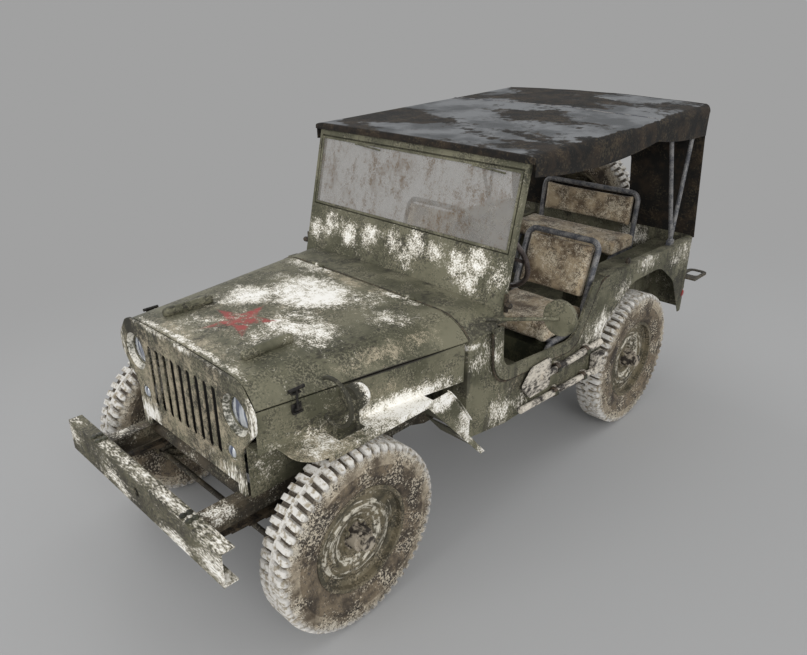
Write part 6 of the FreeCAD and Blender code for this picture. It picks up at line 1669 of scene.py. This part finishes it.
@dataclass
class WinterCar:
    """Dresses every node and adds the pieces that only the looks need."""

    effects: Effects = field(default_factory=Effects)
    repeater: Repeater = field(default_factory=Repeater)

    @staticmethod
    def dress(material: Material, *nodes: str) -> None:
        """Give nodes a material."""
        for name in nodes:
            mesh = NODES[name].data
            mesh.materials.clear()
            mesh.materials.append(material)

    def paint(self) -> None:
        """Build the painted finishes with their patches and give them to the nodes."""
        make = self.effects
        hood = WinterPaint("hood_paint", blots=(
            Blot(-218, 190, 1042, 250, 220, 120, 0.95), Blot(-60, 380, 1042, 380, 280, 120, 1.15),
            Blot(190, 110, 1042, 340, 320, 120, 0.72), Blot(168, 511, 1042, 260, 190, 90, 0.66),
            Blot(367, 410, 1042, 190, 190, 90, 0.56), Blot(-341, 610, 1040, 280, 150, 90, 0.62),
            Blot(249, 612, 1040, 240, 90, 90, 0.58), Blot(-116, -130, 1040, 180, 190, 90, 0.50),
            Blot(230, -170, 1040, 150, 110, 90, 0.50), Blot(0, 250, 1040, 560, 520, 90, 0.30),
            Blot(0, -246, 1030, 640, 34, 90, 0.80)),
            dusting=(*both(Blot(540, 180, 1000, 120, 700, 90, 0.80)),
                     Blot(0, -220, 1040, 620, 150, 80, 0.75), Blot(0, 600, 1040, 660, 110, 80, 0.80),
                     Blot(0, 200, 1040, 700, 800, 90, 0.62)),
            soot=(Blot(-350, -60, 1040, 300, 300, 90, 0.40), Blot(430, 250, 1020, 160, 420, 90, 0.30),
                  Blot(-420, 380, 1030, 160, 340, 90, 0.40)),
            # Painted shade: dark bands along the hood's side seams and along its front edge by the grille.
            seams=(*both(Blot(560, 170, 933, 90, 1400, 30, 1.4)), Blot(0, -290, 1032, 900, 20, 24, 1.4)),
            star=car(-16, 10, 1040)[:], star_size=0.150, star_turn=math.radians(105))
        self.dress(hood.build(make), "hood")
        front = WinterPaint("grille_paint", blots=(
            Blot(0, -283, 1036, 600, 40, 24, 0.62), Blot(462, -270, 880, 44, 60, 260, 0.85),
            Blot(-462, -270, 880, 44, 60, 260, 0.75), Blot(0, -283, 560, 620, 60, 70, 0.60),
            Blot(330, -280, 610, 240, 60, 110, 0.80), Blot(-330, -280, 630, 240, 60, 110, 0.75)),
            dusting=(Blot(0, -283, 800, 1100, 100, 640, 0.86),), drawn=(1.0, 1.0, 0.30), grime=0.42,
            deep=tint(46, 44, 35))
        self.dress(front.build(make), "grille")
        side = WinterPaint("body_paint", blots=(
            Blot(668, 720, 850, 90, 135, 165, 0.69), Blot(668, 815, 560, 90, 120, 135, 0.78),
            Blot(668, 960, 560, 90, 135, 90, 0.70), Blot(668, 926, 866, 90, 60, 90, 0.45),
            Blot(668, 1640, 690, 90, 270, 165, 0.76), Blot(668, 1845, 834, 90, 180, 135, 0.56),
            Blot(668, 2089, 930, 90, 240, 90, 0.60), Blot(668, 2505, 880, 90, 240, 165, 0.55),
            *both(Blot(640, 450, 918, 90, 495, 28.6, 0.95)),
            Blot(-668, 760, 800, 90, 225, 225, 0.74), Blot(-668, 1200, 640, 90, 390, 120, 0.65),
            Blot(-668, 1640, 780, 90, 330, 180, 0.67), Blot(-668, 2100, 900, 90, 300, 105, 0.67),
            Blot(-668, 2480, 840, 90, 270, 195, 0.74), Blot(260, 2660, 860, 200, 135, 165, 0.69),
            Blot(-420, 2660, 700, 180, 135, 165, 0.63), Blot(480, 2660, 640, 140, 135, 105, 0.56)),
            soot=(Blot(640, 700, 985, 120, 200, 60, 0.45), Blot(640, 480, 960, 120, 320, 40, 0.45),
                  Blot(668, 2350, 760, 90, 500, 260, 0.20)),
            dusting=(Blot(668, 1100, 640, 90, 1050, 240, 0.50), Blot(-668, 1100, 640, 90, 1050, 240, 0.58),
                     Blot(0, 1600, 570, 600, 1350, 90, 0.67), Blot(0, 2660, 800, 660, 135, 300, 0.56),
                     Blot(668, 2300, 900, 90, 600, 210, 0.34), Blot(-668, 2300, 900, 90, 600, 210, 0.54)),
            scale=9.0, drawn=(1.0, 1.0, 0.5), grime=0.20, runs=0.0001)
        self.dress(side.build(make), "tub", "cowl", "mirror")
        fender = WinterPaint("fender_paint", blots=both(
            Blot(570, 300, 785, 230, 440, 90, 1.15), Blot(600, -60, 780, 200, 300, 90, 0.62),
            Blot(640, 470, 750, 200, 150, 90, 1.10), Blot(664, 640, 590, 70, 190, 260, 0.95),
            Blot(560, 560, 680, 120, 170, 120, 0.62), Blot(600, 740, 420, 180, 110, 110, 0.80),
            Blot(440, -190, 700, 120, 120, 200, 0.85)),
            dusting=both(Blot(600, -100, 780, 260, 360, 110, 0.95), Blot(540, 200, 860, 110, 620, 110, 0.60)),
            soot=both(Blot(500, 40, 830, 60, 420, 90, 0.50)),
            # Painted shade: a dark band along each fender's seam by the hood.
            seams=both(Blot(560, 170, 952, 110, 1400, 26, 1.2)), grime=0.14)
        self.dress(fender.build(make), "fender_left", "fender_right")
        lamp = WinterPaint("blackout_paint", blots=(Blot(590, 96, 922, 90, 80, 90, 1.15),), spread=-0.05,
                           grime=0.25, deep=tint(52, 50, 38), base=tint(84, 82, 62))
        self.dress(lamp.build(make), "blackout_lamp")
        screen = WinterPaint("screen_paint", blots=tuple(
            Blot(x, 868, z, 116, 110, 112, 0.80) for x, z in (
                (-560, 1120), (-475, 1150), (-333, 1150), (-190, 1160), (-21, 1160), (107, 1180), (240, 1170),
                (360, 1140), (479, 1180), (60, 1110), (430, 1090), (584, 1140))),
            dusting=(Blot(0, 860, 1120, 760, 110, 170, 0.48),), grime=0.26)
        self.dress(screen.build(make), "windscreen_frame", "glass_frame")
        bumper = WinterPaint("bumper_paint", blots=(
            Blot(575, -500, 510, 240, 90, 190, 0.68), Blot(575, -500, 585, 300, 90, 40, 0.58),
            Blot(-560, -500, 520, 150, 90, 160, 0.62), Blot(0, -500, 590, 800, 60, 30, 0.52),
            Blot(-200, -500, 470, 260, 60, 80, 0.52), Blot(260, -500, 450, 260, 60, 60, 0.52)),
            drawn=(0.35, 1.0, 1.0), grime=0.40, spread=0.08, deep=tint(58, 54, 42), base=tint(100, 96, 76))
        self.dress(bumper.build(make), "front_bumper")
        frame_paint = WinterPaint("frame_paint", blots=(
            Blot(350, -400, 540, 90, 140, 60, 0.72), Blot(-350, -400, 540, 90, 140, 60, 0.62)),
            dusting=(Blot(0, 600, 450, 700, 2300, 200, 0.40),), grime=0.42, spread=0.02,
            deep=tint(52, 46, 37), base=tint(90, 80, 64))
        self.dress(frame_paint.build(make), "chassis_frame", "rear_fittings", "front_axle", "rear_axle",
                   "knuckle_left", "knuckle_right", "tie_rod", "drive_line")

    def finish_nodes(self) -> None:
        """Give the unpainted nodes their finishes."""
        finishes = (
            (PlainFinish("dark_steel", tint(34, 30, 25), tint(88, 76, 60), scale=22.0, rough=0.65,
                         metallic=0.2), ("leaf_springs", "exhaust", "steering_column")),
            (PlainFinish("engine_iron", tint(44, 44, 37), tint(84, 84, 68), scale=18.0, metallic=0.2),
             ("engine_block",)),
            (PlainFinish("lamp_shell", tint(66, 65, 52), tint(222, 218, 206), scale=14.0, rough=0.5,
                         metallic=0.05), ("front_lamps",)),
            (PlainFinish("seat_tube_paint", tint(74, 76, 82), tint(136, 134, 132), scale=26.0, rough=0.5,
                         metallic=0.15),
             ("driver_seat_frame", "passenger_seat_frame", "rear_seat_frame", "top_bows")),
            (PlainFinish("wheel_rim_plastic", tint(40, 34, 32), tint(84, 74, 70), rough=0.4),
             ("steering_wheel",)),
            (PlainFinish("tank_paint", tint(46, 48, 36), tint(78, 78, 58), scale=14.0), ("fuel_tank",)),
            (PlainFinish("radiator_core", tint(7, 7, 6), tint(20, 19, 17), scale=60.0, rough=0.7),
             ("radiator",)),
            (PlainFinish("tool_paint", tint(40, 34, 30), tint(206, 198, 184), scale=13.0, rough=0.7,
                         grain=(1.0, 0.5, 1.0)), ("pioneer_tools",)))
        for finish, nodes in finishes:
            self.dress(finish.build(), *nodes)
        self.dress(dusty_glass(self.effects), "glass")
        for node in WHEELS:
            centre = middle(node.replace("wheel", "tyre"))
            across = (1.0, 0.0, 1.0) if node == "spare_wheel" else (0.0, 1.0, 1.0)
            self.dress(WheelPaint(node + "_paint", centre[:], across).build(self.effects), node)

    def tyres(self) -> None:
        """Build the dressed tyres."""
        rubber = TyreRubber().build(self.effects)
        tyres = TyreSet(rubber, self.repeater)
        for end in ("front", "rear"):
            for side in ("left", "right"):
                tyres.build(f"tyre_{end}_{side}", f"wheel_{end}_{side}")
        tyres.build("spare_tyre", "chassis")

    def canvas(self) -> CanvasTop:
        """Build the canvas top and return it."""
        cloth = RoofCloth().build(self.effects)
        top = CanvasTop(cloth)
        top.roof()
        top.curtain()
        return top

    def padding(self) -> None:
        """Build the seat pads."""
        cover = SeatCloth().build(self.effects)
        shop = Upholstery(cover)
        driver = shop.build(Pad("driver_cushion", (209, 1172, 747), (638, 1526, 830)), "chassis",
                            ("passenger_cushion", "passenger_seat"))
        lean = math.degrees(math.atan2(92.0, 288.0))
        shop.build(Pad("driver_back_pad", (238, 1494, 864), (609, 1546, 1134), lean, (1520.0, 862.0)),
                   "chassis", ("passenger_back_pad", "passenger_seat"))
        rear = shop.build(Pad("rear_cushion", (-370, 2252, 844), (370, 2516, 923)), "chassis")
        tip = math.degrees(math.atan2(20.0, 216.0))
        rear += shop.build(Pad("rear_back_pad", (-309, 2530, 954), (309, 2574, 1137), tip, (2552.0, 952.0)),
                           "chassis")
        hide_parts("driver_seat_pads")
        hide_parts("passenger_seat_pads")
        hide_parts("rear_seat_pads")

    def build(self) -> None:
        """Dress the whole car."""
        self.paint()
        self.finish_nodes()
        self.tyres()
        top = self.canvas()
        self.padding()
        worn = {node: NODES[node].data.materials[0]
                for node in ("cowl", "steering_column", "engine_block", "top_bows", *WHEELS)}
        Trim(repeater=self.repeater, paint=worn["cowl"], dark=worn["steering_column"],
             steel=worn["engine_block"], cloth=worn["top_bows"],
             wheels={node: worn[node] for node in WHEELS}).build(top)


# Stage


def plain_to_the_eye(graph: Graph, lit: NodeSocket, plain: NodeSocket,
                     share: Optional[NodeSocket] = None) -> NodeSocket:
    """Show a plain shader to the camera and in mirrors, while another one lights the scene.

    Args:
        graph: The graph of the material or world.
        lit: The shader that lights.
        plain: The shader that is seen.
        share: How much of the plain one is seen, or None for all of it.

    Returns:
        The mixed shader.
    """
    seen = graph.add("ShaderNodeLightPath")
    direct = graph.math("MAXIMUM", seen.outputs["Is Camera Ray"], seen.outputs["Is Transmission Ray"])
    direct = graph.math("MAXIMUM", direct, seen.outputs["Is Glossy Ray"])
    if share is not None:
        direct = graph.times(direct, share)
    pick = graph.add("ShaderNodeMixShader")
    for socket, value in zip(pick.inputs, (direct, lit, plain)):
        graph.feed(socket, value)
    return pick.outputs[0]


@dataclass
class Studio:
    """Pale floor, soft light and the camera, sizes in metres."""

    lens: float = 31.29
    world: float = 0.66
    backdrop: Colour = (0.356, 0.356, 0.356, 1.0)

    def floor(self) -> None:
        """Lay the flat floor, toned so that it shows evenly under the lamps."""
        rows = [circle(reach, -0.0004, 96) for reach in (0.0, 6.0, 14.0, 40.0)]
        mesh = skin(rows, "floor", 1e-4, close_columns=True)
        material, graph, shader, place = new_material("pale_floor")
        oval = graph.stretched(place, (1.0, 0.7, 1.0))
        away = graph.vector("DISTANCE", oval, (0.1, 0.0, 0.0)).outputs["Value"]
        tone = graph.blend(graph.step(away, 1.0, 5.0), tint(164, 164, 164), tint(152, 152, 152))
        graph.fill(shader, Base_Color=tone, Roughness=0.95)
        plain = graph.fill(graph.add("ShaderNodeEmission"), Color=self.backdrop)
        end = next(node for node in graph.tree.nodes if node.type == "OUTPUT_MATERIAL")
        graph.feed(end.inputs["Surface"], plain_to_the_eye(graph, shader.outputs[0], plain.outputs[0],
                                                           graph.step(away, 1.6, 4.2)))
        mesh.materials.append(material)
        piece = put("floor", mesh)

    def sky(self) -> None:
        """Even grey sky that lights the car and stands plain behind it."""
        world = bpy.data.worlds.new("studio")
        world.use_nodes = True
        bpy.context.scene.world = world
        graph = Graph(world.node_tree)
        shade = graph.fill(world.node_tree.nodes["Background"], Color=(0.98, 0.99, 1.0, 1.0),
                           Strength=self.world)
        plain = graph.fill(graph.add("ShaderNodeBackground"), Color=self.backdrop)
        graph.feed(world.node_tree.nodes["World Output"].inputs["Surface"],
                   plain_to_the_eye(graph, shade.outputs[0], plain.outputs[0]))

    @staticmethod
    def turned(name: str, data: ID, place: Vector, look: Vector) -> Object:
        """Put a lamp or camera at a place, looking one way."""
        spot = put(name, data)
        spot.location = place
        spot.rotation_mode = "QUATERNION"
        spot.rotation_quaternion = look.to_track_quat("-Z", "Y")
        return spot

    def lights(self) -> None:
        """Soft lamps on all sides."""
        for name, place, power, size in (
                ("key", (9.5, -5.8, 6.0), 640.0, 6.5), ("front", (-0.8, -12.0, 5.6), 430.0, 6.5),
                ("right", (-11.0, 0.9, 6.2), 400.0, 7.0), ("back", (3.4, 12.7, 6.2), 400.0, 7.0)):
            lamp = bpy.data.lights.new(name, "AREA")
            lamp.energy = power
            lamp.size = size
            self.turned(name, lamp, Vector(place), Vector((0, 0, 0.7)) - Vector(place))

    def camera(self) -> None:
        """Set the camera at the photograph's view."""
        yaw, pitch = math.radians(44.18), math.radians(24.40)
        lens = bpy.data.cameras.new("view")
        lens.lens = self.lens
        lens.sensor_width = 36.0
        lens.clip_end = 100.0
        look = Vector((-math.sin(yaw) * math.cos(pitch), math.cos(yaw) * math.cos(pitch), -math.sin(pitch)))
        bpy.context.scene.camera = self.turned("view", lens, car(2188.0, -1348.0, 2147.0), look)

    def build(self) -> None:
        """Set the stage."""
        self.floor()
        self.sky()
        self.lights()
        self.camera()
        bpy.context.scene.view_settings.view_transform = "Standard"


def main() -> None:
    """Dress the car and set the stage."""
    logging.basicConfig(level=logging.INFO, format="%(message)s")
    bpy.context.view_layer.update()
    WinterCar().build()
    Studio().build()


if __name__ == "__main__":
    main()
